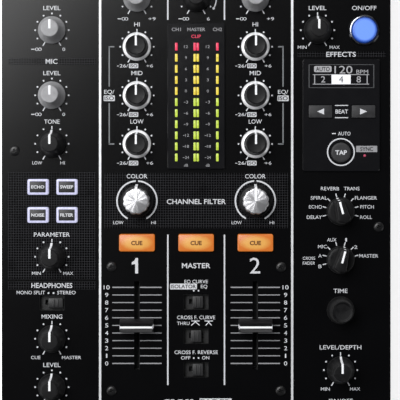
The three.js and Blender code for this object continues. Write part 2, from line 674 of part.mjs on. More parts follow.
place("base_pan", "chassis", basePan());
place("top_panel", "panel", topPanel());
place("front_panel", "chassis", frontPanel());
place("rear_panel", "chassis", rearPanel());
place("control_board", "board", controlBoard());
place("input_output_board", "board", inputOutputBoard());
place("power_supply_board", "board", powerSupplyBoard());
place("power_inlet", "plastic", powerInlet());
place("power_rocker", "plastic", powerRocker(), ROCKER.x);
place("meter_window", "window", windowPlate(METER_WINDOW));
place("effects_window", "window", effectsWindow());
for (const [side, x] of Object.entries({ left: -FOOT.x, right: FOOT.x })) {
  place(`foot_front_${side}`, "foot", foot(), x, FOOT.frontY);
  place(`foot_rear_${side}`, "foot", foot(), x, FOOT.rearY);
}
for (const { name, finish, make, x, y } of knobs) {
  place(name, finish, make(), x, y);
}
for (const { name, finish, size, x, y } of keys) {
  place(name, finish, key(size), x, y);
}
for (const button of roundButtons) {
  place(button.name, button.finish, roundButton(button), button.x, button.y);
}
for (const control of sliders) {
  place(control.name, "plastic", slider(control), control.x, control.y);
}
for (const { name, turn, x, y } of faders) {
  place(name, "blackKnob", faderCap(), x, y).rotation.z = THREE.MathUtils.degToRad(turn);
}

export default group;
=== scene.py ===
"""A compact two-channel DJ mixer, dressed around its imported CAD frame.

Lengths are written in millimetres in the frame's axes and become metres as each mesh is handed over.
"""
import math

import bmesh
import bpy
from mathutils import Matrix, Vector


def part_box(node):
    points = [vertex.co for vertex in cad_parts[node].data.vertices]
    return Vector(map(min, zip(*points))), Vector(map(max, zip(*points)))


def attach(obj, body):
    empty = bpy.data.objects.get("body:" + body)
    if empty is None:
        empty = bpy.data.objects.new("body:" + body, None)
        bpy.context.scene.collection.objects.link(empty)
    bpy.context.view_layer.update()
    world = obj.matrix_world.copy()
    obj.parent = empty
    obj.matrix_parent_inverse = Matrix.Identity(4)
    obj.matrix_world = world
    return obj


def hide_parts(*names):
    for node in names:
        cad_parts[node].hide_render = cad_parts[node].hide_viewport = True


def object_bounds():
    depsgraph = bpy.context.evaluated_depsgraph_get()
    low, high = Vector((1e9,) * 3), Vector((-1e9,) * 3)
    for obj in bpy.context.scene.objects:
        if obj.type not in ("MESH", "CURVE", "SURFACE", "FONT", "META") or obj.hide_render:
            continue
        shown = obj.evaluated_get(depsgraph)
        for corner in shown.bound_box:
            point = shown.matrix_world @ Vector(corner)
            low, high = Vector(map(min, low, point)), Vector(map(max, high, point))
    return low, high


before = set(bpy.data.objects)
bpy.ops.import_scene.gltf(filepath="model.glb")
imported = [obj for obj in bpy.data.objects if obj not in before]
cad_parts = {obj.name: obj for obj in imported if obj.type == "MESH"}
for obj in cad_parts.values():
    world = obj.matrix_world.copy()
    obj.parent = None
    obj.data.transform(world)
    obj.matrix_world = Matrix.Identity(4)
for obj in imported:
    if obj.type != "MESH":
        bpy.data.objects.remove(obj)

CAD_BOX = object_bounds()
MM = 0.001
ROOT = "chassis"


def corners(node):
    """Lowest and highest corner of a CAD node, in millimetres."""
    low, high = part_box(node)
    return Vector(low) / MM, Vector(high) / MM


def middle(node):
    low, high = corners(node)
    return (low + high) / 2


def shift(x, y, z):
    return Matrix.Translation((x, y, z))


def spin(degrees, axis):
    return Matrix.Rotation(math.radians(degrees), 4, axis)


PANEL_TOP = corners("top_panel")[1].z
WINDOW_TOP = corners("effects_window")[1].z
KNOB_BOTTOM = PANEL_TOP + 0.8
LINE_LIFT = 0.05  # how far a painted line stands out from its knob
KNOB_HEIGHT = corners("master_level_knob")[1].z - KNOB_BOTTOM - LINE_LIFT
SHAFT_DEPTH = KNOB_BOTTOM - corners("master_level_knob")[0].z
PRINT_LIFT = 0.04
PRINT_DEPTH = 0.03
MARK_Z = PANEL_TOP + PRINT_LIFT
BAND_MARK_Z = MARK_Z + 0.02  # print that lies over a woven band
WINDOW_MARK_Z = WINDOW_TOP + 0.01
TEXT_WEIGHT = 0.004  # how much each outline is fattened, as a share of the letter size
TITLE_WEIGHT = 0.012
REAR_WEIGHT = 0.03
TITLE_CAP = 2.45  # heights of capitals
VALUE_CAP = 1.85
SMALL_CAP = 2.0
CHANNELS = {"channel_1": -1, "channel_2": 1}  # and the side of the mixer that each is on

# ---- mesh tools -------------------------------------------------------------------------------


def circle(radius, steps=64):
    return [(radius * math.cos(a), radius * math.sin(a)) for a in turns(steps)]


def turns(steps):
    return [2 * math.pi * i / steps for i in range(steps)]


def rounded_rectangle(width, length, radius, steps=5):
    points = []
    for quarter, (sx, sy) in enumerate([(1, 1), (-1, 1), (-1, -1), (1, -1)]):
        cx, cy = sx * (width / 2 - radius), sy * (length / 2 - radius)
        for i in range(steps + 1):
            a = math.pi / 2 * (quarter + i / steps)
            points.append((cx + radius * math.cos(a), cy + radius * math.sin(a)))
    return points


def soften(profile, radius, steps=4):
    """The profile with each inner corner replaced by a small curve."""
    points = [profile[0]]
    for before, corner, after in zip(profile, profile[1:], profile[2:]):
        b, c, a = Vector(before), Vector(corner), Vector(after)
        reach = min(radius, (b - c).length * 0.45, (a - c).length * 0.45)
        start, end = c + (b - c).normalized() * reach, c + (a - c).normalized() * reach
        for i in range(steps + 1):
            t = i / steps
            points.append(tuple(start * (1 - t) ** 2 + c * 2 * t * (1 - t) + end * t**2))
    points.append(profile[-1])
    return points


class Shape:
    """Gathers closed solids in millimetres and hands them over as one object in metres."""

    def __init__(self):
        self.bm = bmesh.new()

    def loft(self, rings, place=Matrix()):
        """A solid through rings of equal count. A ring of one point closes that end with a fan."""
        made = [[self.bm.verts.new(place @ Vector(p)) for p in ring] for ring in rings]
        for low, high in zip(made, made[1:]):
            self.join(low, high)
        if len(made[0]) > 1:
            self.bm.faces.new(made[0][::-1])
        if len(made[-1]) > 1:
            self.bm.faces.new(made[-1])
        return self

    def join(self, low, high):
        count = max(len(low), len(high))
        for i in range(count):
            j = (i + 1) % count
            if len(low) == 1:
                self.bm.faces.new([low[0], high[i], high[j]])
            elif len(high) == 1:
                self.bm.faces.new([low[i], low[j], high[0]])
            else:
                self.bm.faces.new([low[i], low[j], high[j], high[i]])

    def stack(self, levels, place=Matrix()):
        """A solid through outlines at given heights: a list of (outline, height)."""
        return self.loft([[(x, y, z) for x, y in outline] for outline, z in levels], place)

    def turn(self, profile, place=Matrix(), steps=64):
        """A solid of revolution about Z from a profile of (radius, height)."""
        rings = []
        for radius, z in profile:
            rings.append([(0, 0, z)] if radius < 1e-6 else [(x, y, z) for x, y in circle(radius, steps)])
        return self.loft(rings, place)

    def ring(self, profile, place=Matrix(), steps=64):
        """A closed band about Z from a profile of (radius, height) that goes round."""
        return self.tube([[(x, y, z) for x, y in circle(r, steps)] for r, z in profile], place)

    def soft_ring(self, profile, radius, place, steps=64):
        """The same with the profile's corners softened, all but the first."""
        return self.ring(soften(profile + profile[:1], radius)[:-1], place, steps)

    def tube(self, rings, place=Matrix()):
        """A closed band through rings of equal count, the last joined to the first."""
        made = [[self.bm.verts.new(place @ Vector(p)) for p in ring] for ring in rings]
        for low, high in zip(made, made[1:] + made[:1]):
            self.join(low, high)
        return self

    def block(self, low, high, place=Matrix()):
        x0, y0, z0 = low
        x1, y1, z1 = high
        outline = [(x0, y0), (x1, y0), (x1, y1), (x0, y1)]
        return self.stack([(outline, z0), (outline, z1)], place)

    def tile(self, x, y, width, length, z, height, radius=0.3, edge=0.0):
        """A flat plate with rounded corners, and softened upper edges where edge is given."""
        levels = [(rounded_rectangle(width, length, radius), z)]
        if edge:
            levels.append((rounded_rectangle(width, length, radius), z + height - edge))
            for t in (0.35, 0.7):
                inset = 2 * edge * (1 - math.sqrt(1 - t * t))
                outline = rounded_rectangle(width - inset, length - inset, radius)
                levels.append((outline, z + height - edge * (1 - t)))
            corner = max(radius - edge, 0.05)
            levels.append((rounded_rectangle(width - 2 * edge, length - 2 * edge, corner), z + height))
        else:
            levels.append((rounded_rectangle(width, length, radius), z + height))
        return self.stack(levels, shift(x, y, 0))

    def line(self, start, end, width, z):
        """A straight printed line between two points."""
        a, b = Vector(start), Vector(end)
        side = Vector((-(b - a).y, (b - a).x)).normalized() * width / 2
        outline = [tuple(a - side), tuple(b - side), tuple(b + side), tuple(a + side)]
        return self.stack([(outline, z), (outline, z + PRINT_DEPTH)])

    def arc(self, centre, inner, outer, start, end, z):
        """A printed band round centre, between two clock angles in degrees, clockwise from +Y."""
        steps = max(3, round((end - start) / 4))
        angles = [math.radians(start + (end - start) * i / steps) for i in range(steps + 1)]
        rings = []
        for a in angles:
            s, c = math.sin(a), math.cos(a)
            section = [(inner, z), (inner, z + PRINT_DEPTH), (outer, z + PRINT_DEPTH), (outer, z)]
            rings.append([(centre[0] + r * s, centre[1] + r * c, h) for r, h in section])
        return self.loft(rings)

    def text(self, words, x, y, cap, z, width=None, weight=0.02, place=Matrix(), depth=PRINT_DEPTH):
        """Words centred on x, y, with capitals of height cap, squeezed or spread to width if given."""
        glyphs = Glyphs.get(words, weight)
        stretch = width / glyphs.width if width else cap / Glyphs.cap
        lift = shift(x, y, z)
        verts = []
        for gx, gy, top in glyphs.points:
            p = Vector((gx * stretch, gy * cap / Glyphs.cap, depth if top else 0))
            verts.append(self.bm.verts.new(place @ lift @ p))
        for face in glyphs.faces:
            self.bm.faces.new([verts[i] for i in face])
        return self

    def hand_over(self, name, material, slot, body=ROOT, replaces=(), sharp=35):
        """Makes the object, gives it its finish and lets it ride on its body."""
        bmesh.ops.recalc_face_normals(self.bm, faces=self.bm.faces)
        bmesh.ops.scale(self.bm, vec=(MM, MM, MM), verts=self.bm.verts)
        mesh = bpy.data.meshes.new(name)
        self.bm.to_mesh(mesh)
        self.bm.free()
        mesh.shade_smooth()
        mesh.set_sharp_from_angle(angle=math.radians(sharp))
        mesh.materials.append(material)
        piece = bpy.data.objects.new(name, mesh)
        bpy.context.scene.collection.objects.link(piece)
        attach(piece, body)
        if replaces:
            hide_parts(*replaces)
        return piece


class Glyphs:
    """Solid letters from Blender's own font, of unit size, centred across and on the height of a capital."""

    made = {}
    cap = 1.0  # the height of a capital, measured once below

    def __init__(self, words, weight):
        curve = bpy.data.curves.new("letters", "FONT")
        curve.body = words
        curve.offset = weight
        curve.extrude = 0.5
        curve.resolution_u = 3
        holder = bpy.data.objects.new("letters", curve)
        bpy.context.scene.collection.objects.link(holder)
        bpy.context.view_layer.update()
        mesh = holder.evaluated_get(bpy.context.evaluated_depsgraph_get()).to_mesh()
        bm = bmesh.new()
        bm.from_mesh(mesh)
        bmesh.ops.remove_doubles(bm, verts=bm.verts, dist=1e-5)
        xs = [v.co.x for v in bm.verts]
        ys = [v.co.y for v in bm.verts]
        self.width, self.height = max(xs) - min(xs), max(ys) - min(ys)
        middle_x, middle_y = (min(xs) + max(xs)) / 2, Glyphs.cap / 2
        self.points = [(v.co.x - middle_x, v.co.y - middle_y, v.co.z > 0) for v in bm.verts]
        self.faces = [[v.index for v in f.verts] for f in bm.faces]
        bm.free()
        bpy.data.objects.remove(holder)
        bpy.data.curves.remove(curve)

    @classmethod
    def get(cls, words, weight):
        if (words, weight) not in cls.made:
            cls.made[words, weight] = cls(words, weight)
        return cls.made[words, weight]


Glyphs.cap = Glyphs.get("H", 0.0).height

# ---- materials --------------------------------------------------------------------------------

CUE_KEYS = ("channel_1_cue_button", "master_cue_button", "channel_2_cue_button")
CUE_SIZE = (20.9, 10.1)
SEND_RADIUS = 7.3


class Nodes:
    """A material's node tree, with short ways to add and join nodes."""

    def __init__(self, name):
        self.material = bpy.data.materials.new(name)
        self.material.use_nodes = True
        self.tree = self.material.node_tree
        self.shader = next(n for n in self.tree.nodes if n.type == "BSDF_PRINCIPLED")
        self.place = self.add("ShaderNodeTexCoord").outputs["Object"]

    def add(self, kind, inputs=None, **settings):
        node = self.tree.nodes.new(kind)
        for key, value in settings.items():
            setattr(node, key, value)
        for key, value in (inputs or {}).items():
            self.put(node.inputs[key], value)
        return node

    def put(self, socket, value):
        if isinstance(value, bpy.types.NodeSocket):
            self.tree.links.new(value, socket)
        else:
            socket.default_value = value

    def set(self, **inputs):
        for key, value in inputs.items():
            self.put(self.shader.inputs[key.replace("_", " ")], value)

    def noise(self, size, detail=4.0, rough=0.55):
        """Cloudy grey of a given size in millimetres."""
        scale = 1 / (size * MM)
        inputs = {"Vector": self.place, "Scale": scale, "Detail": detail, "Roughness": rough}
        return self.add("ShaderNodeTexNoise", inputs).outputs["Fac"]

    def blend(self, amount, dark, light):
        """A colour between two, by a grey."""
        ramp = self.add("ShaderNodeValToRGB", {"Fac": amount})
        ramp.color_ramp.elements[0].position = 0.3
        ramp.color_ramp.elements[1].position = 0.7
        ramp.color_ramp.elements[0].color = (*dark, 1)
        ramp.color_ramp.elements[1].color = (*light, 1)
        return ramp.outputs["Color"]

    def span(self, amount, low, high, start=0.3, end=0.7):
        inputs = {"Value": amount, "From Min": start, "From Max": end, "To Min": low, "To Max": high}
        return self.add("ShaderNodeMapRange", inputs).outputs["Result"]

    def math(self, operation, a, b=0.0):
        return self.add("ShaderNodeMath", {0: a, 1: b}, operation=operation).outputs[0]

    def bump(self, height, distance, strength=1.0):
        """Relief of a given depth in millimetres."""
        inputs = {"Height": height, "Distance": distance * MM, "Strength": strength}
        self.set(Normal=self.add("ShaderNodeBump", inputs).outputs["Normal"])


def tint(color, factor):
    return tuple(min(1.0, c * factor) for c in color)


def painted(name, color, roughness, grain=0.25, relief=0.02, specular=0.5):
    """Paint, plastic or rubber with a fine grain, faint clouding and uneven gloss."""
    n = Nodes(name)
    fine, broad = n.noise(grain, 3.0), n.noise(35, 5.0)
    n.set(Base_Color=n.blend(broad, tint(color, 0.85), tint(color, 1.18)), Specular_IOR_Level=specular)
    uneven = n.math("ADD", fine, n.math("MULTIPLY", broad, 0.5))
    n.set(Roughness=n.span(uneven, roughness * 0.88, roughness * 1.12))
    n.bump(fine, relief, 0.6)
    return n.material


def rubber(name, color, specular=0.3):
    """Soft-touch rubber: a sheen at grazing angles and lint-fine mottling."""
    n = Nodes(name)
    fine, worn = n.noise(0.18, 4.0), n.noise(3.5, 4.0)
    n.set(Base_Color=n.blend(worn, tint(color, 0.88), tint(color, 1.14)))
    n.set(Roughness=n.span(n.math("MULTIPLY", fine, worn), 0.34, 0.6, 0.12, 0.36))
    n.set(Specular_IOR_Level=specular, Sheen_Weight=0.04, Sheen_Roughness=0.4)
    n.bump(fine, 0.02, 0.7)
    return n.material


def ink(name, color, painted_glow=0.0):
    """Screen-printed ink with slightly uneven cover, and, where asked for, painted light: an emission that
    brightens the print, which gives no light of its own.
    """
    n = Nodes(name)
    cover = n.noise(0.35, 5.0, 0.7)
    mottled = n.blend(cover, tint(color, 0.86), tint(color, 1.03))
    n.set(Base_Color=mottled, Roughness=n.span(cover, 0.5, 0.36), Specular_IOR_Level=0.35)
    # Painted light: the emission makes the print look brighter, as if lit, though ink is no lamp.
    if painted_glow:
        n.set(Emission_Color=mottled, Emission_Strength=painted_glow)
    n.bump(cover, 0.008, 0.5)
    return n.material


def lamp(name, color, strength, core=None):
    """A lit translucent plastic, brighter in patches where its lamps sit behind it."""
    n = Nodes(name)
    lit = n.blend(n.noise(1.2, 2.0), tint(color, 0.86), core or tint(color, 1.1))
    n.set(Base_Color=tint(color, 0.6) + (1,), Roughness=n.span(n.noise(0.3), 0.22, 0.34))
    n.set(Emission_Color=lit, Emission_Strength=strength)
    n.bump(n.noise(0.4), 0.01, 0.4)
    return n.material


def brushed(name, color, roughness=0.3, rings=False, metallic=1.0):
    """Turned or drawn metal with fine tool marks."""
    n = Nodes(name)
    fine = n.noise(0.12, 2.0)
    n.set(Base_Color=n.blend(n.noise(2.5, 4.0), tint(color, 0.9), tint(color, 1.06)))
    n.set(Metallic=metallic, Roughness=n.span(fine, roughness * 0.8, roughness * 1.25))
    if rings:
        around = n.add("ShaderNodeTangent", direction_type="RADIAL", axis="Z").outputs[0]
        n.set(Anisotropic=0.6, Tangent=around)
    n.bump(fine, 0.006, 0.5)
    return n.material


def smoked_glass(name):
    """The polished cover of a display, with the faintest orange peel and a few specks."""
    n = Nodes(name)
    broad = n.noise(9, 3.0)
    n.set(Base_Color=n.blend(n.noise(0.5), (0.003, 0.003, 0.004), (0.006, 0.006, 0.007)))
    n.set(Roughness=n.span(broad, 0.15, 0.18), Specular_IOR_Level=0.55)
    n.bump(broad, 0.003, 0.3)
    return n.material


def woven_print(name):
    """The panel's band of fine crossed lines, printed gloss on satin."""
    n = Nodes(name)
    pitch = 1.5
    split = n.add("ShaderNodeSeparateXYZ", {"Vector": n.place})
    lines = []
    for axis in ("X", "Y"):
        phase = n.math("FRACT", n.math("MULTIPLY", split.outputs[axis], 1 / (pitch * MM)))
        away = n.math("ABSOLUTE", n.math("SUBTRACT", phase, 0.5))
        lines.append(n.span(away, 0.0, 1.0, 0.38, 0.44))
    both = n.math("MAXIMUM", *lines)
    wear = n.noise(14, 4.0)
    shade = n.math("MULTIPLY", both, n.span(wear, 0.55, 1.0))
    n.set(Base_Color=n.blend(shade, (0.0005, 0.0005, 0.0007), (0.031, 0.031, 0.034)))
    n.set(Roughness=n.span(both, 0.19, 0.16, 0.0, 1.0), Specular_IOR_Level=0.16)
    n.bump(both, 0.004, 0.5)
    return n.material


PANEL = painted("panel_paint", (0.0014, 0.0014, 0.0017), 0.18, grain=0.3, relief=0.003, specular=0.25)
CHASSIS = painted("chassis_paint", (0.012, 0.012, 0.013), 0.5, grain=0.55, relief=0.06, specular=0.45)
BLACK = painted("black_plastic", (0.008, 0.008, 0.009), 0.42, grain=0.22, relief=0.02)
FADER_BLACK = painted("fader_plastic", (0.005, 0.005, 0.006), 0.36, grain=0.2, relief=0.015)
SLIDER_GREY = painted("slider_plastic", (0.009, 0.009, 0.01), 0.45, grain=0.2, relief=0.02)
WELL = painted("switch_well", (0.002, 0.002, 0.0025), 0.5, grain=0.3, relief=0.02)
BUTTON_GREY = rubber("button_rubber", (0.028, 0.028, 0.03))
KNOB_BLACK = rubber("black_knob_rubber", (0.003, 0.003, 0.0036), 0.22)
KNOB_GREY = rubber("grey_knob_rubber", (0.30, 0.30, 0.31))
FOOT = rubber("foot_rubber", (0.012, 0.012, 0.012))
SILVER = brushed("silver_ring", (0.92, 0.92, 0.94), 0.34, metallic=0.35)
SPUN = brushed("spun_cap", (0.62, 0.62, 0.64), 0.36, rings=True, metallic=0.9)
TRIM = brushed("trim_metal", (0.78, 0.79, 0.81), 0.42, metallic=0.45)
CHROME = brushed("bezel_chrome", (0.3, 0.31, 0.34), 0.16)
CONTACT = brushed("contact_plating", (0.78, 0.77, 0.74), 0.25)
SCREW = painted("screw_black", (0.008, 0.008, 0.0085), 0.28, grain=0.4, relief=0.01, specular=0.4)
WINDOW = smoked_glass("smoked_window")
WEAVE = woven_print("woven_band")
# The last figure of an ink is its emission: painted light that brightens the print beyond what the lights
# give.
WHITE = ink("print_white", (0.62, 0.63, 0.66), 0.06)
POINTER = ink("pointer_white", (0.86, 0.87, 0.9), 0.12)
SCALE_INK = ink("print_scale", (0.3, 0.3, 0.315), 0.02)
GREY_INK = ink("print_grey", (0.19, 0.2, 0.21), 0.02)
DIM_INK = ink("display_outline", (0.075, 0.078, 0.082), 0.02)
# Dark ink for print; on the side screws the same finish is painted shade in their cross recesses.
DARK_INK_AND_PAINTED_SHADE = ink("print_dark_and_painted_shade", (0.006, 0.006, 0.007))
PALE = lamp("pale_frame", (0.5, 0.5, 0.72), 0.62, (0.74, 0.74, 0.95))
CUE_INK = ink("cue_lettering", (0.12, 0.035, 0.006))
RED = lamp("red_lamp", (0.62, 0.015, 0.07), 0.8, (0.85, 0.1, 0.16))
DIM_RED = lamp("dim_red_lamp", (0.42, 0.02, 0.08), 0.6, (0.55, 0.2, 0.26))
YELLOW = lamp("yellow_lamp", (0.58, 0.42, 0.03), 0.8, (0.8, 0.7, 0.12))
GREEN = lamp("green_lamp", (0.34, 0.46, 0.03), 0.8, (0.6, 0.7, 0.13))
DISPLAY = lamp("display_segments", (0.4, 0.4, 0.42), 0.45)
DISPLAY_BRIGHT = lamp("display_bar", (0.75, 0.76, 0.8), 0.75)
SOCKET_RED = painted("socket_red", (0.42, 0.012, 0.012), 0.3)
SOCKET_WHITE = painted("socket_white", (0.72, 0.72, 0.7), 0.3)
BOARD = painted("solder_mask", (0.012, 0.075, 0.035), 0.35, grain=0.6)
COPPER = brushed("winding_tape", (0.75, 0.5, 0.18), 0.45)
ALUMINIUM = brushed("heat_sink", (0.6, 0.6, 0.61), 0.4)


def blue_lens():
    """Lit blue, paler in the middle and deep blue at the rim of each of its two round lenses."""
    n = Nodes("blue_lens")
    distances = []
    for node in ("send_button", "effect_button"):
        c = middle(node)
        away = n.add("ShaderNodeVectorMath", {0: n.place, 1: c * MM}, operation="SUBTRACT")
        flat = n.add("ShaderNodeVectorMath", {0: away.outputs[0], 1: (1, 1, 0)}, operation="MULTIPLY")
        length = n.add("ShaderNodeVectorMath", {0: flat.outputs[0]}, operation="LENGTH")
        distances.append(length.outputs["Value"])
    radius = n.math("MULTIPLY", n.math("MINIMUM", *distances), 1 / (SEND_RADIUS * MM))
    uneven = n.math("ADD", n.math("POWER", radius, 5.0), n.math("MULTIPLY", n.noise(2.5), 0.12))
    lit = n.blend(uneven, (0.17, 0.32, 0.78), (0.01, 0.045, 0.26))
    n.set(Base_Color=(0.05, 0.12, 0.45, 1), Roughness=n.span(n.noise(0.3), 0.25, 0.36))
    n.set(Emission_Color=lit, Emission_Strength=0.77)
    n.bump(n.noise(0.4), 0.01, 0.4)
    return n.material


def cue_lens():
    """Lit orange, yellower over the lamp in the middle of each key."""
    n = Nodes("cue_lens")
    width, length = CUE_SIZE
    columns = [middle(name).x for name in CUE_KEYS]
    row = middle("master_cue_button").y
    split = n.add("ShaderNodeSeparateXYZ", {"Vector": n.place})
    away = [n.math("ABSOLUTE", n.math("SUBTRACT", split.outputs["X"], x * MM)) for x in columns]
    nearest = n.math("MINIMUM", n.math("MINIMUM", away[0], away[1]), away[2])
    across = n.math("POWER", n.math("MULTIPLY", nearest, 2 / (width * MM)), 2.0)
    rise = n.math("MULTIPLY", n.math("SUBTRACT", split.outputs["Y"], row * MM), 2 / (length * MM))
    edge = n.math("ADD", across, n.math("POWER", n.math("ABSOLUTE", rise), 2.0))
    uneven = n.math("ADD", n.math("MULTIPLY", edge, 0.68), n.math("MULTIPLY", n.noise(2.0), 0.22))
    lit = n.blend(uneven, (0.86, 0.5, 0.12), (0.66, 0.15, 0.014))
    n.set(Base_Color=(0.26, 0.09, 0.02, 1), Roughness=n.span(n.noise(0.3), 0.25, 0.36))
    n.set(Emission_Color=lit, Emission_Strength=0.62)
    n.bump(n.noise(0.4), 0.01, 0.4)
    return n.material


CUE = cue_lens()
BLUE = blue_lens()

# ---- knobs ------------------------------------------------------------------------------------

GREY_KNOBS = ("aux_level_knob", "mic_level_knob", "channel_1_gain_knob", "channel_2_gain_knob")
FLARED_KNOBS = GREY_KNOBS + (
    "mic_tone_knob", "effect_parameter_knob", "headphone_mix_knob", "headphone_level_knob",
    "master_level_knob", "booth_level_knob", "send_level_knob", "level_depth_knob",
)
SELECTORS = {"effect_select_knob": 15, "channel_select_knob": -15}  # and each one's turn at rest
RINGED_KNOBS = tuple(f"{channel}_{band}_knob" for channel in CHANNELS for band in ("high", "mid", "low"))
SHAFT = [(0, -SHAFT_DEPTH), (3, -SHAFT_DEPTH), (3, 0)]


def knob_place(node, turn=0):
    c = middle(node)
    return shift(c.x, c.y, KNOB_BOTTOM) @ spin(turn, "Z")


def pointer(node, path, width, place, lift=LINE_LIFT):
    """A painted line that follows the knob's own profile outwards from its middle."""
    shape = Shape()
    rings = []
    for i, (r, z) in enumerate(path):
        before, after = Vector(path[max(i - 1, 0)]), Vector(path[min(i + 1, len(path) - 1)])
        along = (after - before).normalized()
        out = Vector((-along.y, along.x))
        upper, lower = Vector((r, z)) + out * lift, Vector((r, z)) - out * 0.15
        right = width / 2
        rings.append([(-right, *upper), (right, *upper), (right, *lower), (-right, *lower)])
    shape.loft(rings, place)
    shape.hand_over(f"{node}_line", POINTER, "print_white", node)


def fluted(radius, depth, steps, dip):
    """A circle drawn in by depth times dip(angle)."""
    points = []
    for a in turns(steps):
        r = radius - depth * dip(a)
        points.append((r * math.cos(a), r * math.sin(a)))
    return points


def flared_knob(node):
    """A rubber knob whose tall grip flares into a broad skirt."""
    h, rim = KNOB_HEIGHT, 4.6
    skirt = [(8.0, 0), (8.15, 0.25), (8.15, 1.1), (7.8, 1.9), (7.2, 3.0), (6.6, 4.6), (6.1, 6.6), (5.7, 8.8)]
    grip = [(5.15, h - 0.7), (4.95, h - 0.2), (rim, h), (0, h)]
    profile = SHAFT + soften(skirt + grip, 0.5)
    place = knob_place(node)
    grey = node in GREY_KNOBS
    finish = (KNOB_GREY, "grey_knob") if grey else (KNOB_BLACK, "black_knob")
    Shape().turn(profile, place, steps=72).hand_over(node + "_grip", *finish, node, [node])
    side = [(r, z) for r, z in profile[::-1] if r > rim and z > 0.9]
    # A grey knob's line ends near its rim, a black one's runs down the skirt.
    reach = side[:8] if grey else side
    pointer(node, [(-0.3, h), (2.5, h)] + reach, 1.25, place)


def ringed_knob(node):
    """A black grip with fine ribs that stands in a bright conical ring."""
    h = KNOB_HEIGHT - 0.4
    place = knob_place(node)
    ring = soften([(0, 0.05), (8.2, 0.05), (8.45, 0.3), (8.45, 1.2), (8.1, 1.9), (6.9, 2.6), (0, 2.6)], 0.3)
    collar = Shape().turn(SHAFT[:2] + [(3, 0.05)] + ring[1:], place, steps=96)
    collar.hand_over(node + "_ring", SILVER, "silver_knob", node, [node])

    def rib(angle):
        return 0.5 - 0.5 * math.cos(angle * 40)

    steps = ((6.8, 2.62, 0.0), (6.7, 3.2, 0.16), (6.1, 4.8, 0.16), (5.75, h - 1.5, 0.16),
             (5.7, h - 0.7, 0.05), (5.5, h - 0.2, 0.0), (5.2, h, 0.0), (4.8, h - 0.12, 0.0))
    grip = Shape().stack([(fluted(radius, depth, 160, rib), z) for radius, z, depth in steps], place)
    grip.hand_over(node + "_grip", KNOB_BLACK, "black_knob", node, sharp=50)
    path = [(-0.3, h - 0.12), (4.6, h - 0.12), (5.2, h), (5.65, h - 0.5), (5.85, h - 4), (6.2, 4.8),
            (6.8, 3.2), (7.0, 2.6), (8.1, 1.95), (8.45, 1.2)]
    pointer(node, path, 1.15, place)


def filter_knob(node):
    """A spun metal cap with a scalloped edge on a dark skirt, and a raised bar that points out past it."""
    place = knob_place(node)
    skirt = soften([(9.4, 0), (9.6, 0.3), (9.6, 1.0), (9.0, 1.7), (7.4, 2.0), (0, 2.0)], 0.3)
    disc = Shape().turn(SHAFT + skirt, place, steps=96)
    disc.hand_over(node + "_skirt", KNOB_BLACK, "black_knob", node, [node])
    lobes, steps, top, pleat = 12, 192, 13.0, 0.05

    def scallop(angle):
        return 1 - abs(math.sin(angle * lobes / 2)) ** 0.8

    rings = []
    levels = ((7.9, 2.05, 0.55), (7.9, 2.6, 0.6), (7.75, top - 1.2, 0.6), (7.6, top - 0.45, 0.5),
              (7.2, top - 0.12, 0.3), (6.6, top - 0.05, 0.05), (2.6, top, 0.0))
    for radius, z, depth in levels:
        rise = pleat if z > top - 0.3 else 0
        outline = zip(fluted(radius, depth, steps, scallop), turns(steps))
        rings.append([(x, y, z + rise * math.sin(a * lobes / 2) ** 2) for (x, y), a in outline])
    shape = Shape().loft(rings + [[(0, 0, top + 0.2)]], place)
    shape.hand_over(node + "_cap", SPUN, "silver_knob", node, sharp=60)
    bar = [(0, top + 0.2), (6.4, top + 0.2), (7.7, top - 0.3), (8.2, top - 2), (8.8, 5), (9.5, 1.7)]
    pointer(node, soften(bar, 1.0), 1.5, place, lift=0.4)


def selector_knob(node):
    """A disc with a raised wedge to hold, narrower towards the pointer."""
    place = knob_place(node, SELECTORS[node])
    h = KNOB_HEIGHT
    skirt = soften([(8.0, 0), (8.2, 0.3), (8.2, 1.6), (7.7, 3.2), (6.5, 3.5), (0, 3.5)], 0.5)
    disc = Shape().turn(SHAFT + skirt, place, steps=96)
    disc.hand_over(node + "_skirt", KNOB_BLACK, "black_knob", node, [node])

    def wedge(shrink):
        tip, tail, front, back = 2.7 - shrink, 4.2 - shrink, 7.3 - shrink, -7.3 + shrink
        outline = [(tip, front), (-tip, front), (-tail, back + 1.6), (0, back), (tail, back + 1.6)]
        return soften(outline[-1:] + outline + outline[:1], 1.0, 5)[1:-1]

    heights = {-0.45: 3.3, -0.1: 4.2, 0.15: 8, 0.45: h - 0.6, 0.65: h - 0.15, 1.0: h}
    levels = [(wedge(shrink), z) for shrink, z in heights.items()]
    Shape().stack(levels, place).hand_over(node + "_grip", KNOB_BLACK, "black_knob", node, sharp=50)
    path = [(-1.2, h), (5.9, h), (6.5, h - 0.25), (6.85, h - 1.2), (7.1, 8), (7.3, 4.4), (7.5, 3.5),
            (8.1, 2.6), (8.22, 1.2)]
    pointer(node, path, 1.2, place)


def dished_knob(node):
    """The plain knob that turns without end, with a shallow dish in its top."""
    h = KNOB_HEIGHT - 1
    profile = [(8.0, 0), (8.15, 0.25), (8.15, 1.3), (7.6, 2.3), (7.0, 3.9), (6.6, 6.5), (6.35, h - 0.6),
               (6.1, h), (5.4, h - 0.1), (4.9, h - 0.6), (0, h - 0.8)]
    grip = Shape().turn(SHAFT + soften(profile, 0.5), knob_place(node), steps=96)
    grip.hand_over(node + "_grip", KNOB_BLACK, "black_knob", node, [node])


# ---- faders and slide switches ----------------------------------------------------------------

SWITCHES = {
    "aux_source_switch": 1, "headphone_mode_switch": 2.2,
    "channel_1_input_switch": 0, "channel_2_input_switch": 0,
    "eq_curve_switch": 1, "crossfader_curve_switch": 0, "crossfader_reverse_switch": 1,
}  # each slider's place at rest, right of the middle of its well
FADER_TRAVEL = 45.0


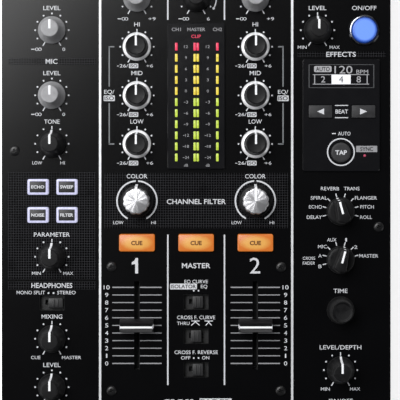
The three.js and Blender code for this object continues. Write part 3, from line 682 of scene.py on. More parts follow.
def fader_cap(node, turn=0):
    """A long cap with a finger dish and a white line across it, on a blade that goes down the slot."""
    low, high = corners(node)
    c = middle(node)
    bottom = PANEL_TOP + 2.2
    height = high.z - bottom
    place = shift(c.x, c.y, bottom) @ spin(turn, "Z")
    base, top, half_length, dish_depth = 3.9, 2.85, 10.0, 1.5

    def section(inset):
        foot, lip = base - inset, top - 0.25 - inset
        right = [(-foot, inset), (foot, inset), (foot - 0.1, 2.6), (top + 0.15, height - 0.6),
                 (lip, height - inset)]
        dish = []
        for i in range(1, 10):
            t = i / 10
            dish.append((lip * (1 - 2 * t), height - inset - dish_depth * math.sin(math.pi * t)))
        left = [(-lip, height - inset), (-top - 0.15, height - 0.6), (-foot + 0.1, 2.6)]
        return right + dish + left

    rounding = ((0.45, 0.0), (0.12, 0.12), (0.0, 0.45))  # how far each ring at an end is inset, and set back
    rings = []
    for side, steps in ((-1, rounding), (1, rounding[::-1])):
        for inset, back in steps:
            rings.append([(side * (half_length - back - 0.5 * z / height), y, z) for y, z in section(inset)])
    blade = (-0.6, -2, low.z - bottom), (0.6, 2, 0.5)
    shape = Shape().loft(rings, place).block(*blade, place)
    shape.hand_over(node + "_cap", FADER_BLACK, "black_knob", node, [node])
    lines = Shape()
    valley = height - dish_depth
    lines.block((-9.55, -1.1, valley - 0.2), (9.55, 1.1, valley + 0.1), place)
    for side in (-1, 1):
        end = [(9.6, valley + 0.1), (10.06, 1.2), (9.8, 1.2), (9.3, valley + 0.1)]
        lines.loft([[(side * x, y, z) for x, z in end] for y in (-1.1, 1.1)], place)
    lines.hand_over(node + "_line", POINTER, "print_white", node)


def slide_switch(node):
    """A ribbed slider in a dark well."""
    low, high = corners(node)
    c = middle(node)
    width, length = high.x - low.x, high.y - low.y
    bottom, top = PANEL_TOP - 3.6, high.z - 0.35
    shape = Shape().tile(c.x, c.y, width, length, bottom, top - bottom, 0.5, 0.3)
    shape.block((c.x - 1.5, c.y - 1, low.z), (c.x + 1.5, c.y + 1, bottom + 0.1))
    rib, gap = (1.4, 1.0) if width > length else (0.8, 1.5)
    for side in (-1, 1):
        shape.tile(c.x + side * (gap + rib) / 2, c.y, rib, length - 1.2, top - 0.05, 0.4, 0.35, 0.15)
    shape.hand_over(node + "_slider", SLIDER_GREY, "black_plastic", node, [node], sharp=40)


def switch_wells():
    """The dark frames that line the recesses under the sliders."""
    shape = Shape()
    dx, dy, half_wall = 7.2, 4.4, 0.06
    bottom, top = PANEL_TOP - 3.95, PANEL_TOP - 0.3
    for node in SWITCHES:
        x, y = well_centre(node)
        for side in (-1, 1):
            wall_x, wall_y, ledge_y = x + side * dx, y + side * dy, y + side * 3.1
            shape.block((x - dx, wall_y - half_wall, bottom), (x + dx, wall_y + half_wall, top))
            shape.block((wall_x - half_wall, y - dy, bottom), (wall_x + half_wall, y + dy, top))
            shape.block((x - dx, ledge_y - 1.3, bottom), (x + dx, ledge_y + 1.3, bottom + 0.12))
    shape.hand_over("switch_wells", WELL, "black_plastic")


def well_centre(node):
    c = middle(node)
    return c.x - SWITCHES[node], c.y


# ---- buttons ----------------------------------------------------------------------------------


RIM_Z = PANEL_TOP - 4.2  # the underside of every key's rim


def key_stem(shape, node):
    """The square stem from under a key down to its switch."""
    c = middle(node)
    shape.block((c.x - 1.5, c.y - 1.5, corners(node)[0].z), (c.x + 1.5, c.y + 1.5, RIM_Z + 0.1))


def effect_key(node, words):
    """A lit frame round a dark face with its name."""
    c = middle(node)
    width, length, top = 12.15, 9.25, corners(node)[1].z
    steps = ((0, 1.0, RIM_Z), (0, 1.0, top - 0.35), (0.25, 0.9, top - 0.1), (0.7, 0.7, top), (2.5, 0.35, top),
             (2.6, 0.3, top - 0.35))
    levels = [(rounded_rectangle(width - inset, length - inset, radius), z) for inset, radius, z in steps]
    surround = Shape().stack(levels, shift(c.x, c.y, 0))
    key_stem(surround, node)
    surround.hand_over(node + "_frame", PALE, "pale_button", node, [node])
    face = Shape().tile(c.x, c.y, width - 2.7, length - 2.7, top - 0.36, 0.2, 0.3, 0.08)
    face.hand_over(node + "_face", BLACK, "black_plastic", node)
    name = Shape().text(words, c.x, c.y, 1.75, top - 0.15, width - 4.4, 0.03)
    name.hand_over(node + "_name", WHITE, "print_white", node)


def cue_key(node):
    c = middle(node)
    top = corners(node)[1].z
    shape = Shape().tile(c.x, c.y, *CUE_SIZE, RIM_Z, top - RIM_Z, 1.0, 0.5)
    key_stem(shape, node)
    shape.hand_over(node + "_lens", CUE, "cue_lens", node, [node])
    name = Shape().text("CUE", c.x, c.y - 0.1, 2.3, top + 0.01, 6.7, 0.04)
    name.hand_over(node + "_name", CUE_INK, "cue_lens", node)


def beat_key(node, side):
    """A grey key with a triangle that points to side."""
    c = middle(node)
    top = corners(node)[1].z
    shape = Shape().tile(c.x, c.y, 13.9, 7.4, RIM_Z, top - RIM_Z, 0.5, 0.3)
    key_stem(shape, node)
    shape.hand_over(node + "_cap", BUTTON_GREY, "dark_button", node, [node])
    triangle = [(c.x + side * 2.0, c.y), (c.x - side * 2.1, c.y + 1.8), (c.x - side * 2.1, c.y - 1.8)]
    mark = Shape().stack([(triangle, top + 0.01), (triangle, top + 0.05)])
    mark.hand_over(node + "_arrow", WHITE, "print_white", node)


def round_key(node, radius, material, slot, words=""):
    c = middle(node)
    bottom, top = (corner.z for corner in corners(node))
    profile = [(0, bottom), (2, bottom), (2, RIM_Z), (radius, RIM_Z), (radius, top - 0.7),
               (radius - 0.35, top - 0.12), (radius - 1.1, top), (0, top)]
    cap = Shape().turn(soften(profile, 0.3), shift(c.x, c.y, 0), steps=96)
    cap.hand_over(node + "_cap", material, slot, node, [node])
    if words:
        name = Shape().text(words, c.x, c.y, 2.4, top + 0.01, 6.9, 0.03)
        name.hand_over(node + "_name", WHITE, "print_white", node)


def bezel(node, inner, outer, height):
    """The polished ring that a lit round button stands in."""
    c = middle(node)
    z = MARK_Z
    profile = [(inner, z), (inner, z + height - 0.3), (inner + 0.3, z + height),
               (outer - 0.9, z + height - 0.1), (outer - 0.2, z + 0.5), (outer, z)]
    ring = Shape().ring(profile, shift(c.x, c.y, 0), steps=96)
    ring.hand_over(node + "_bezel", CHROME, "bezel_chrome")


# ---- print on the panel -----------------------------------------------------------------------

TITLE_RISE = 13.1  # from the middle of a knob up to its name


def dial(shape, node, top_dot=False):
    """Dots every 30 degrees round a knob, a tick or dot at the top, and end ticks."""
    c = middle(node)
    centre = Vector((c.x, c.y))

    def at(angle, radius):
        a = math.radians(angle)
        return centre + Vector((math.sin(a), math.cos(a))) * radius

    for angle in range(-120, 121, 30):
        if angle or top_dot:
            dot(shape, *at(angle, 9.9), 0.52)
    if not top_dot:
        shape.line(at(0, 8.5), at(0, 10.5), 0.62, MARK_Z)
    for angle in (-150, 150):
        shape.line(at(angle, 8.1), at(angle, 10.7), 0.65, MARK_Z)


def values(shape, node, low, high):
    """The words under a dial: each is (text, offset across, offset down, width)."""
    c = middle(node)
    for words, across, down, width in (low, high):
        if words == "-oo":
            minus_infinity(shape, c.x + across, c.y - down)
        else:
            signed(shape, words, c.x + across, c.y - down, VALUE_CAP, MARK_Z, width)


def signed(shape, words, x, y, cap, z, width):
    """Words that may start with a minus, which is drawn as wide as a figure."""
    if not words.startswith("-"):
        shape.text(words, x, y, cap, z, width, TEXT_WEIGHT)
        return
    dash, space = 0.62 * cap, 0.22 * cap
    rest = width - dash - space
    shape.line((x - width / 2, y - 0.05 * cap), (x - width / 2 + dash, y - 0.05 * cap), 0.17 * cap, z)
    shape.text(words[1:], x + width / 2 - rest / 2, y, cap, z, rest, TEXT_WEIGHT)


def minus_infinity(shape, x, y):
    shape.line((x - 3.0, y), (x - 1.0, y), 0.5, MARK_Z)
    loop = circle(0.98, 28)
    inner = [(px * 0.62, py * 0.75) for px, py in loop]
    outer = [(px * 1.05, py * 0.98) for px, py in loop]
    low, high = MARK_Z, MARK_Z + PRINT_DEPTH
    rings = [[(px, py, z) for px, py in ring]
             for ring, z in ((inner, low), (outer, low), (outer, high), (inner, high))]
    for side in (0.35, 2.2):
        shape.tube(rings, shift(x + side, y, 0))


def boxed_text(white, dark, words, x, y, cap, width, height, z=MARK_Z, text_width=None, radius=0.3):
    """Dark words on a white label."""
    white.tile(x, y, width, height, z, PRINT_DEPTH, radius)
    dark.text(words, x, y, cap, z + PRINT_DEPTH + 0.005, text_width or width - 1.0, 0.02, depth=0.02)


def dot(shape, x, y, radius=0.55):
    outline = circle(radius, 20)
    shape.stack([(outline, MARK_Z), (outline, MARK_Z + PRINT_DEPTH)], shift(x, y, 0))


def title(shape, node, words, width, rise=TITLE_RISE):
    c = middle(node)
    shape.text(words, c.x, c.y + rise, TITLE_CAP, MARK_Z, width, TEXT_WEIGHT)


def print_left_column():
    s = Shape()
    for node, words, width, top_dot in (
        ("aux_level_knob", "LEVEL", 10.2, True), ("mic_level_knob", "LEVEL", 10.2, True),
        ("mic_tone_knob", "TONE", 9.2, False), ("effect_parameter_knob", "PARAMETER", 21.3, False),
        ("headphone_mix_knob", "MIXING", 12.2, False), ("headphone_level_knob", "LEVEL", 10.2, True),
    ):
        title(s, node, words, width)
        dial(s, node, top_dot)
    for node in ("aux_level_knob", "mic_level_knob"):
        values(s, node, ("-oo", -9.3, 11.3, 0), ("0", 7.0, 11.3, 1.6))
    values(s, "mic_tone_knob", ("LOW", -8.7, 11.3, 5.8), ("HI", 6.3, 11.3, 2.7))
    values(s, "effect_parameter_knob", ("MIN", -9.2, 9.8, 5.2), ("MAX", 9.7, 9.8, 5.9))
    values(s, "headphone_mix_knob", ("CUE", -9.6, 11.1, 5.6), ("MASTER", 11.6, 11.1, 11.4))
    values(s, "headphone_level_knob", ("-oo", -9.3, 11.3, 0), ("0", 7.0, 11.3, 1.6))
    for band, words, across, width in (("mic", "MIC", -0.2, 7.0), ("aux", "AUX", -0.2, 7.0),
                                       ("headphones", "HEADPHONES", 0, 24.2)):
        x = middle("mic_level_knob").x + across
        s.text(words, x, BANDS[band][2], 2.75, BAND_MARK_Z, width, TITLE_WEIGHT)
    for node, left, left_width, right, right_width in (
        ("headphone_mode_switch", "MONO SPLIT", 16.8, "STEREO", 10.9),
        ("aux_source_switch", "USB", 5.6, "LINE", 6.2),
    ):
        wx, wy = well_centre(node)
        y = wy + 6.1
        s.text(left, wx - 4.1 - left_width / 2, y, SMALL_CAP, MARK_Z, left_width, TEXT_WEIGHT)
        s.text(right, wx + 3.1 + right_width / 2, y, SMALL_CAP, MARK_Z, right_width, TEXT_WEIGHT)
        dot(s, wx - 2.0, y - 0.3)
        dot(s, wx + 1.0, y - 0.3)
    s.hand_over("print_left_column", WHITE, "print_white")


def print_channel(channel, side):
    """Everything printed round one channel's controls. side is -1 for the left one."""
    s, dark, grey, scale = Shape(), Shape(), Shape(), Shape()
    gain = f"{channel}_gain_knob"
    x = middle(gain).x
    title(s, gain, "GAIN", 9.4)
    dial(s, gain)
    values(s, gain, ("-oo", -8.4, 12.2, 0), ("+9", 8.9, 12.2, 4.3))
    for band, words, width in (("high", "HI", 3.3), ("mid", "MID", 6.7), ("low", "LOW", 7.8)):
        node = f"{channel}_{band}_knob"
        title(s, node, words, width, 13.25)
        dial(s, node)
        values(s, node, ("-26/", -8.5, 11.3, 6.6), ("+6", 7.5, 11.3, 4.1))
        c = middle(node)
        boxed_text(s, dark, "ISO", c.x - 2.0, c.y - 11.3, 1.75, 5.5, 2.75)
    filter_node = f"{channel}_filter_knob"
    title(s, filter_node, "COLOR", 12.2, 14.6)
    for start, end in ((-152, -3.4), (3.4, 152)):
        s.arc(middle(filter_node).xy, 11.35, 12.25, start, end, BAND_MARK_Z)
    values(s, filter_node, ("LOW", -11, 12.8, 6.0), ("HI", 9.8, 12.8, 2.7))
    equaliser_bracket(s, dark, grey, channel, side)
    numeral(s, side, x, middle("master_cue_button").y - 13.6)
    wx, wy = well_centre(f"{channel}_input_switch")
    s.text("USB  LINE  PHONO", wx, wy + 6.1, 1.9, MARK_Z, 19, TEXT_WEIGHT)
    fader_scale(s, scale, f"{channel}_fader", side)
    s.hand_over(f"print_{channel}", WHITE, "print_white")
    scale.hand_over(f"print_{channel}_scale", SCALE_INK, "print_white")
    dark.hand_over(f"print_{channel}_dark", DARK_INK_AND_PAINTED_SHADE, "panel_paint")
    grey.hand_over(f"print_{channel}_bracket", GREY_INK, "print_white")


def equaliser_bracket(white, dark, grey, channel, side):
    """The bracket that joins the three tone knobs, and the words in its gap."""
    high_y, mid_y, low_y = (middle(f"{channel}_{band}_knob").y for band in ("high", "mid", "low"))
    x = middle(f"{channel}_gain_knob").x + side * 16.4
    for start, end in ((high_y, mid_y + 5.2), (mid_y - 4.6, low_y)):
        grey.line((x, start), (x, end), 0.75, MARK_Z)
    for y in (high_y, low_y):
        grey.line((x + side * 0.37, y), (x - side * 3.0, y), 0.75, MARK_Z)
    white.text("EQ/", x, mid_y + 2.1, 2.3, MARK_Z, 6.0, TEXT_WEIGHT)
    boxed_text(white, dark, "ISO", x, mid_y - 1.7, 2.2, 6.6, 3.3, radius=0.4)


def numeral(shape, side, x, y):
    """The large number of a channel: a one with a flag, or a two."""
    half = 4.6
    if side > 0:
        shape.text("2", x - 0.2, y, 2 * half, MARK_Z, 6.2, 0.0)
        return
    stem, flag = 0.85, 2.9
    outline = [(stem, -half), (stem, half), (-stem + 0.3, half), (-stem - 0.5, half - 1.7),
               (-flag, half - 2.5), (-flag, half - 3.9), (-stem, half - 3.6), (-stem, -half)]
    shape.stack([(outline, MARK_Z), (outline, MARK_Z + PRINT_DEPTH)], shift(x - 0.2, y, 0))


def fader_scale(words, ticks, node, side):
    """Ticks from 0 to 10 on both sides of the slot, with numbers on the outer side."""
    c = middle(node)
    for step in range(11):
        y = c.y - FADER_TRAVEL / 2 + FADER_TRAVEL * step / 10
        for way in (-1, 1):
            ticks.line((c.x + way * 1.75, y), (c.x + way * 14.6, y), 0.55 if step % 10 else 0.7, MARK_Z)
        width = {1: 0.76, 10: 3.6}.get(step, 1.9)
        words.text(str(step), c.x + side * 17.9, y, 2.4, MARK_Z, width, TEXT_WEIGHT)


def print_centre():
    s, dark = Shape(), Shape()
    for node, words, width in (("master_level_knob", "LEVEL", 10.2), ("booth_level_knob", "BOOTH", 11.0)):
        title(s, node, words, width, 12.2 if node.startswith("booth") else TITLE_RISE)
        dial(s, node, True)
    values(s, "master_level_knob", ("-oo", -7.4, 12.2, 0), ("6", 7.2, 12.2, 1.7))
    m, end = middle("master_level_knob"), math.radians(120)
    s.arc(m.xy, 11.6, 12.3, 20, 118, MARK_Z)
    dot(s, m.x + 11.95 * math.sin(end), m.y + 11.95 * math.cos(end), 0.75)
    filter_y = middle("channel_1_filter_knob").y
    s.text("CHANNEL FILTER", 0.1, filter_y - 0.4, 2.8, BAND_MARK_Z, 34.9, TITLE_WEIGHT)
    s.text("MASTER", 0, middle("master_cue_button").y - 13.6, 2.85, MARK_Z, 16.8, TITLE_WEIGHT)
    x, y = well_centre("eq_curve_switch")
    s.text("EQ CURVE", x, y + 12.1, SMALL_CAP, MARK_Z, 13.9, TEXT_WEIGHT)
    boxed_text(s, dark, "ISOLATOR", x - 7.5, y + 9.2, 2.1, 15.8, 3.4)
    s.text("EQ", x + 4.7, y + 9.2, 2.0, MARK_Z, 3.9, TEXT_WEIGHT)
    x, y = well_centre("crossfader_curve_switch")
    s.text("CROSS F. CURVE", x, y + 11.1, 2.1, MARK_Z, 22.5, TEXT_WEIGHT)
    s.text("THRU", x - 7.6, y + 7.6, 1.9, MARK_Z, 7.4, TEXT_WEIGHT)
    for left, foot in ((-0.4, 2.5), (7.4, 1.75)):
        cx, cy = x + left, y + 7.9
        s.line((cx - 2.5, cy + 1.1), (cx + 2.5, cy + 1.1), 0.5, MARK_Z)
        s.line((cx - foot, cy - 1.5), (cx + 0.6, cy + 1.1), 0.5, MARK_Z + 0.004)
        s.line((cx + foot, cy - 1.5), (cx - 0.6, cy + 1.1), 0.5, MARK_Z + 0.008)
    x, y = well_centre("crossfader_reverse_switch")
    s.text("CROSS F. REVERSE", x, y + 10.3, 2.1, MARK_Z, 25.6, TEXT_WEIGHT)
    s.text("OFF", x - 6.2, y + 7.0, 1.9, MARK_Z, 5.6, TEXT_WEIGHT)
    s.text("ON", x + 5.6, y + 7.0, 1.9, MARK_Z, 4.3, TEXT_WEIGHT)
    for node, rise in (("eq_curve_switch", 6.7), ("crossfader_reverse_switch", 6.9)):
        x, y = well_centre(node)
        dot(s, x - 1.4, y + rise, 0.5)
        dot(s, x + 1.4, y + rise, 0.5)
    crossfader_print(s, dark)
    s.hand_over("print_centre", WHITE, "print_white")
    dark.hand_over("print_centre_dark", DARK_INK_AND_PAINTED_SHADE, "panel_paint")


def crossfader_print(s, dark):
    c = middle("crossfader")
    s.text("CROSS", c.x - 10.5, c.y + 15.6, 2.6, MARK_Z, 18, TITLE_WEIGHT)
    boxed_text(s, dark, "FADER", c.x + 11.5, c.y + 15.6, 2.5, 19, 3.8)
    for words, side in (("A", -1), ("B", 1)):
        s.text(words, c.x + side * 33, c.y, 3.0, MARK_Z, 2.6, TITLE_WEIGHT)
    for step in range(11):
        x = c.x - FADER_TRAVEL / 2 + FADER_TRAVEL * step / 10
        for way in (-1, 1):
            s.line((x, c.y + way * 2.2), (x, c.y + way * (8.5 if step == 5 else 6.0)), 0.5, MARK_Z)


def selector_scale(shape, node, labels):
    """Ticks and names round a selector: each label is (angle, words, across, up, width)."""
    c = middle(node)
    for angle, words, across, up, width in labels:
        a = math.radians(angle)
        out = Vector((math.sin(a), math.cos(a)))
        shape.line(c.xy + out * 8.7, c.xy + out * 10.9, 0.6, MARK_Z)
        shape.text(words, c.x + across, c.y + up, SMALL_CAP, MARK_Z, width, TEXT_WEIGHT)


def print_right_column():
    s = Shape()
    title(s, "send_level_knob", "LEVEL", 10.4)
    dial(s, "send_level_knob")
    values(s, "send_level_knob", ("MIN", -9.1, 10.1, 5.3), ("MAX", 10.1, 10.1, 6.0))
    title(s, "send_button", "ON/OFF", 14.4)
    window_x = middle("effects_window").x
    s.text("EFFECTS", window_x, BANDS["effects"][2], 2.8, BAND_MARK_Z, 17.5, TITLE_WEIGHT)
    selector_scale(s, "effect_select_knob", (
        (-105, "DELAY", -15.5, -3.4, 8.9), (-75, "ECHO", -14.8, 2.7, 7.7), (-45, "SPIRAL", -12.8, 8.0, 9.8),
        (-15, "REVERB", -6.2, 13.5, 10.9), (15, "TRANS", 6.6, 13.5, 9.2), (45, "FLANGER", 15.0, 8.0, 13.0),
        (75, "PITCH", 15.7, 2.7, 8.0), (105, "ROLL", 15.1, -3.4, 7.0)))
    selector_scale(s, "channel_select_knob", (
        (-105, "B", -12.1, -3.8, 1.9), (-75, "A", -12.1, 2.4, 2.0), (-45, "MIC", -10.7, 7.9, 5.3),
        (-15, "AUX", -5.2, 11.9, 5.5), (15, "1", 3.3, 11.9, 1.0), (45, "2", 9.0, 7.6, 1.9),
        (75, "MASTER", 16.7, 2.4, 11.2)))
    c = middle("channel_select_knob")
    for words, up in (("CROSS", 1.0), ("FADER", -1.9)):
        s.text(words, c.x - 18.7, c.y + up, 1.8, MARK_Z, 7.3, TEXT_WEIGHT)
    title(s, "time_knob", "TIME", 8.3, 11.4)
    title(s, "level_depth_knob", "LEVEL/DEPTH", 24.6, 13.4)
    dial(s, "level_depth_knob")
    values(s, "level_depth_knob", ("MIN", -9.0, 11.2, 5.3), ("MAX", 8.6, 11.2, 6.0))
    title(s, "effect_button", "ON/OFF", 14.4, 13.5)
    s.hand_over("print_right_column", WHITE, "print_white")


# Bands of woven print: (left, right, middle height, length) on the panel.
BANDS = {
    "aux": (-111.4, -59.3, 131.5, 4.2),
    "mic": (-111.4, -59.3, 74.8, 4.1),
    "effect_keys": (-111.4, -59.3, -22.2, 63.6),
    "headphones": (-111.4, -59.3, -57.7, 4.6),
    "filter": (-54.6, 54.6, -7.5, 32.8),
    "effects": (60.0, 112.3, 79.0, 3.2),
}


def woven_bands():
    """Thin overlays, left open round the knob shafts and keys that come up through them."""
    shape = Shape()
    z, height = PANEL_TOP + 0.012, 0.02
    for left, right, y, length in BANDS.values():
        shape.tile((left + right) / 2, y, right - left, length, z, height, 0.2)
    band = shape.hand_over("woven_bands", WEAVE, "panel_paint")
    cutter = Shape()
    for node in ("effect_parameter_knob", "channel_1_filter_knob", "channel_2_filter_knob"):
        c = middle(node)
        cutter.stack([(circle(3.7, 24), z - 1), (circle(3.7, 24), z + 1)], shift(c.x, c.y, 0))
    for node in EFFECT_KEYS:
        c = middle(node)
        cutter.tile(c.x, c.y, 13.1, 10.2, z - 1, 2, 1.2)
    cut(band, cutter)


def cut(piece, cutter):
    """Cuts the solids gathered in cutter out of piece."""
    tool = cutter.hand_over("cutter", PANEL, "panel_paint")
    modifier = piece.modifiers.new("cut", "BOOLEAN")
    modifier.object = tool
    modifier.solver = "EXACT"
    apply_modifiers(piece)
    piece.data.shade_flat()
    bpy.data.objects.remove(tool)


def apply_modifiers(piece):
    graph = bpy.context.evaluated_depsgraph_get()
    mesh = bpy.data.meshes.new_from_object(piece.evaluated_get(graph))
    piece.modifiers.clear()
    piece.data = mesh


def trims():
    """The bright full-length lines and the thinner printed lines round the master column."""
    bright, thin = Shape(), Shape()
    low, high = corners("top_panel")
    for side in (-1, 1):
        x = side * 56.8
        bright.block((x - 0.66, low.y + 0.6, PANEL_TOP + 0.01), (x + 0.66, high.y - 0.6, PANEL_TOP + 0.08))
        x = side * 16.75
        thin.line((x, 99.4), (x, high.y - 8), 0.85, MARK_Z)
        thin.line((x, -27.6), (x, -116.6), 0.85, MARK_Z)
    bright.hand_over("trim_lines", TRIM, "trim_silver")
    thin.hand_over("print_master_lines", WHITE, "print_white")


# ---- meter and display ------------------------------------------------------------------------


def meter():
    """Three columns of lamps behind the dark window, with their numbers."""
    low, high = corners("meter_window")
    c = middle("meter_window")
    window_cover("meter_window", [])
    z = WINDOW_MARK_Z
    pitch, first, tall = 6.54, high.y - 14.1, 4.6
    lamps = {"red": Shape(), "yellow": Shape(), "green": Shape()}
    figures, header = Shape(), Shape()
    for row, number in enumerate(["12", "9", "6", "3", "0", "-3", "-6", "-9", "-12", "-18", "-24"]):
        colour = "red" if row == 0 else "yellow" if row < 5 else "green"
        y = first - row * pitch
        for x, width in ((-11.7, 1.5), (-0.84, 1.42), (0.95, 1.42), (12.55, 1.5)):
            lamps[colour].tile(c.x + x, y, width, tall, z, 0.12, 0.35, 0.06)
        width = 1.15 * len(number.strip("-")) + 1.35 * number.startswith("-")
        for x in (-6.0, 6.9):
            signed(figures, number, c.x + x, y, 1.6, z, width)
    for x in (-6.0, 6.9):
        figures.text("dB", c.x + x, low.y + 2.2, 1.6, z, 2.4, TEXT_WEIGHT)
    for words, x, width in (("CH1", -11.7, 5.4), ("MASTER", 0.1, 10.6), ("CH2", 12.6, 5.4)):
        header.text(words, c.x + x, high.y - 3.9, 1.9, z, width, TITLE_WEIGHT)
    lamps["red"].text("CLIP", c.x, high.y - 8.0, 1.9, z, 5.6, TEXT_WEIGHT)
    for colour, material in (("red", RED), ("yellow", YELLOW), ("green", GREEN)):
        lamps[colour].hand_over(f"meter_{colour}", material, f"led_{colour}")
    header.hand_over("meter_header", SCALE_INK, "print_white")
    figures.hand_over("meter_figures", SCALE_INK, "print_white")


def window_cover(node, holes):
    """A polished cover that stands on the panel, with openings for what comes through it."""
    low, high = corners(node)
    c = middle(node)
    bottom = PANEL_TOP + 0.02
    plate = Shape().tile(c.x, c.y, high.x - low.x, high.y - low.y, bottom, high.z - bottom, 1.4, 0.35)
    cover = plate.hand_over(node + "_cover", WINDOW, "window_plastic", ROOT, [node])
    cover.data.shade_flat()
    if holes:
        cutter = Shape()
        for outline, spot in holes:
            cutter.stack([(outline, PANEL_TOP - 1), (outline, high.z + 1)], shift(spot.x, spot.y, 0))
        cut(cover, cutter)


def effects_display():
    """The cover over the effects display, with openings for its keys, and all that shows in it."""
    tap, down, up = (middle(node) for node in ("tap_button", "beat_down_button", "beat_up_button"))
    key = rounded_rectangle(14.6, 8.1, 0.6)
    window_cover("effects_window", [(circle(6.3, 64), tap), (key, down), (key, up)])
    lit, bar, dark, dim, legend, outline = (Shape() for _ in range(6))
    tempo_screen(lit, bar, dark, outline)
    z, x = WINDOW_MARK_Z, middle("effects_window").x
    legend.text("BEAT", x + 0.3, down.y, 2.3, z, 7.4, TITLE_WEIGHT)
    for side in (-1, 1):
        legend.line((x - 3.7, down.y + side * 3.6), (x + 4.1, down.y + side * 3.6), 0.5, z)
    legend.line((tap.x - 5.3, tap.y + 11.2), (tap.x - 3.0, tap.y + 11.2), 0.6, z)
    legend.text("AUTO", tap.x + 2.0, tap.y + 11.2, 2.1, z, 7.4, TEXT_WEIGHT)
    for start in (-180, 0):
        legend.arc((tap.x, tap.y + 0.3), 7.5, 8.25, start, start + 180, z)
    boxed_text(dim, dark, "SYNC", tap.x + 15.2, tap.y + 2.1, 2.2, 12.4, 3.7, z, 7.6)
    lit.hand_over("display_figures", DISPLAY, "display_light")
    bar.hand_over("display_bar", DISPLAY_BRIGHT, "display_light")
    dark.hand_over("display_dark_figures", DARK_INK_AND_PAINTED_SHADE, "window_plastic")
    legend.hand_over("window_legends", WHITE, "print_white")
    dim.hand_over("sync_label", SCALE_INK, "print_white")
    outline.hand_over("display_frame", DIM_INK, "window_plastic")
    bulb = [(0, z), (0.75, z), (0.6, z + 0.35), (0, z + 0.45)]
    sync = Shape().turn(bulb, shift(tap.x + 14.0, tap.y - 1.8, 0), steps=24)
    sync.hand_over("sync_lamp", DIM_RED, "led_red")


def tempo_screen(lit, bar, dark, outline):
    """The beats per minute over a row that shows which beat is chosen."""
    z, x = WINDOW_MARK_Z, middle("effects_window").x + 0.1
    top, half_width, height = corners("effects_window")[1].y - 3.3, 19.1, 13.6
    for side in (-1, 1):
        edge = x + side * half_width
        outline.line((edge, top), (edge, top - height), 0.5, z)
    for y in (top, top - height):
        outline.line((x - half_width, y), (x + half_width, y), 0.3, z)
    boxed_text(lit, dark, "AUTO", x - 11.0, top - 2.6, 2.4, 10.3, 3.6, z, 8.2, radius=0.8)
    lit.text("120", x + 1.2, top - 3.0, 4.4, z, 10.6, 0.0)
    lit.text("BPM", x + 12.3, top - 4.2, 2.3, z, 6.9, 0.0)
    row_top, row_bottom = top - 5.9, top - 11.5
    row_middle = (row_top + row_bottom) / 2
    for y in (row_top, row_bottom):
        lit.line((x - 16.9, y), (x + 16.4, y), 0.36, z)
    for across in (-15.8, 15.2):
        lit.line((x + across, row_bottom), (x + across, row_top), 0.5, z + 0.004)
    bar.tile(x - 0.2, row_middle, 11.3, row_top - row_bottom, z + 0.008, PRINT_DEPTH, 0.1)
    for words, across, shape, lift in (("2", -10.8, lit, 0), ("8", 10.2, lit, 0), ("4", -0.2, dark, 0.045)):
        shape.text(words, x + across, row_middle, 3.6, z + lift, 2.5, 0.0)


# ---- screws -----------------------------------------------------------------------------------


def cross(reach, half):
    """The outline of a plus sign."""
    points = []
    for sx, sy in ((1, 1), (-1, 1), (-1, -1), (1, -1)):
        arm = [(sx * reach, sy * half), (sx * half, sy * half), (sx * half, sy * reach)]
        points += arm if sx * sy > 0 else arm[::-1]
    return points


def screw_solid():
    """A pan-head screw with a cross recess, as vertices and faces in millimetres."""
    radius, height = 3.1, 1.3
    profile = [(0, -0.6), (radius - 0.3, -0.6), (radius, 0.1), (radius * 0.86, height * 0.75),
               (radius * 0.5, height), (0, height)]
    piece = Shape().turn(soften(profile, 0.5), steps=40).hand_over("screw_head", SCREW, "screw_black")
    recess = [(cross(0.5, 0.25), height - 1.2), (cross(1.7, 0.38), height + 0.5)]
    cut(piece, Shape().stack(recess, spin(20, "Z")))
    points = [v.co / MM for v in piece.data.vertices]
    faces = [list(p.vertices) for p in piece.data.polygons]
    bpy.data.objects.remove(piece)
    return points, faces


def screws(name, places):
    """Copies of the screw at each place, as one piece."""
    shape = Shape()
    points, faces = SCREW_SOLID
    for place in places:
        verts = [shape.bm.verts.new(place @ p) for p in points]
        for face in faces:
            shape.bm.faces.new([verts[i] for i in face])
    shape.hand_over(name, SCREW, "screw_black")


def rear_screws():
    """Large ones that hold the panel, and small ones beside the sockets."""
    face = REAR_FACE + 0.02
    large = [(x, z) for x in (-109, 109) for z in (16, 84)] + [(16, 84)]
    small = []
    for x, z in [(x, LOWER_Z) for x in BALANCED.values()] + [(MIC_X, UPPER_Z)]:
        small += [(x + 9.6, z + 11.4), (x - 9.6, z - 11.4)]
    small += PHONO_PAIRS.values()
    places = [backwards(x, z, face) for x, z in large]
    places += [backwards(x, z, face) @ Matrix.Scale(0.5, 4) for x, z in small]
    screws("rear_screws", places)


def underside_screws():
    low, high = corners("base_pan")
    down = spin(180, "X")
    spots = [(x, y) for x in (low.x + 10, 0, high.x - 10) for y in (low.y + 9, high.y - 9)]
    spots += [(x, y) for x in (10, 99) for y in (-65, 55)]
    screws("underside_screws", [shift(x, y, low.z) @ down for x, y in spots])


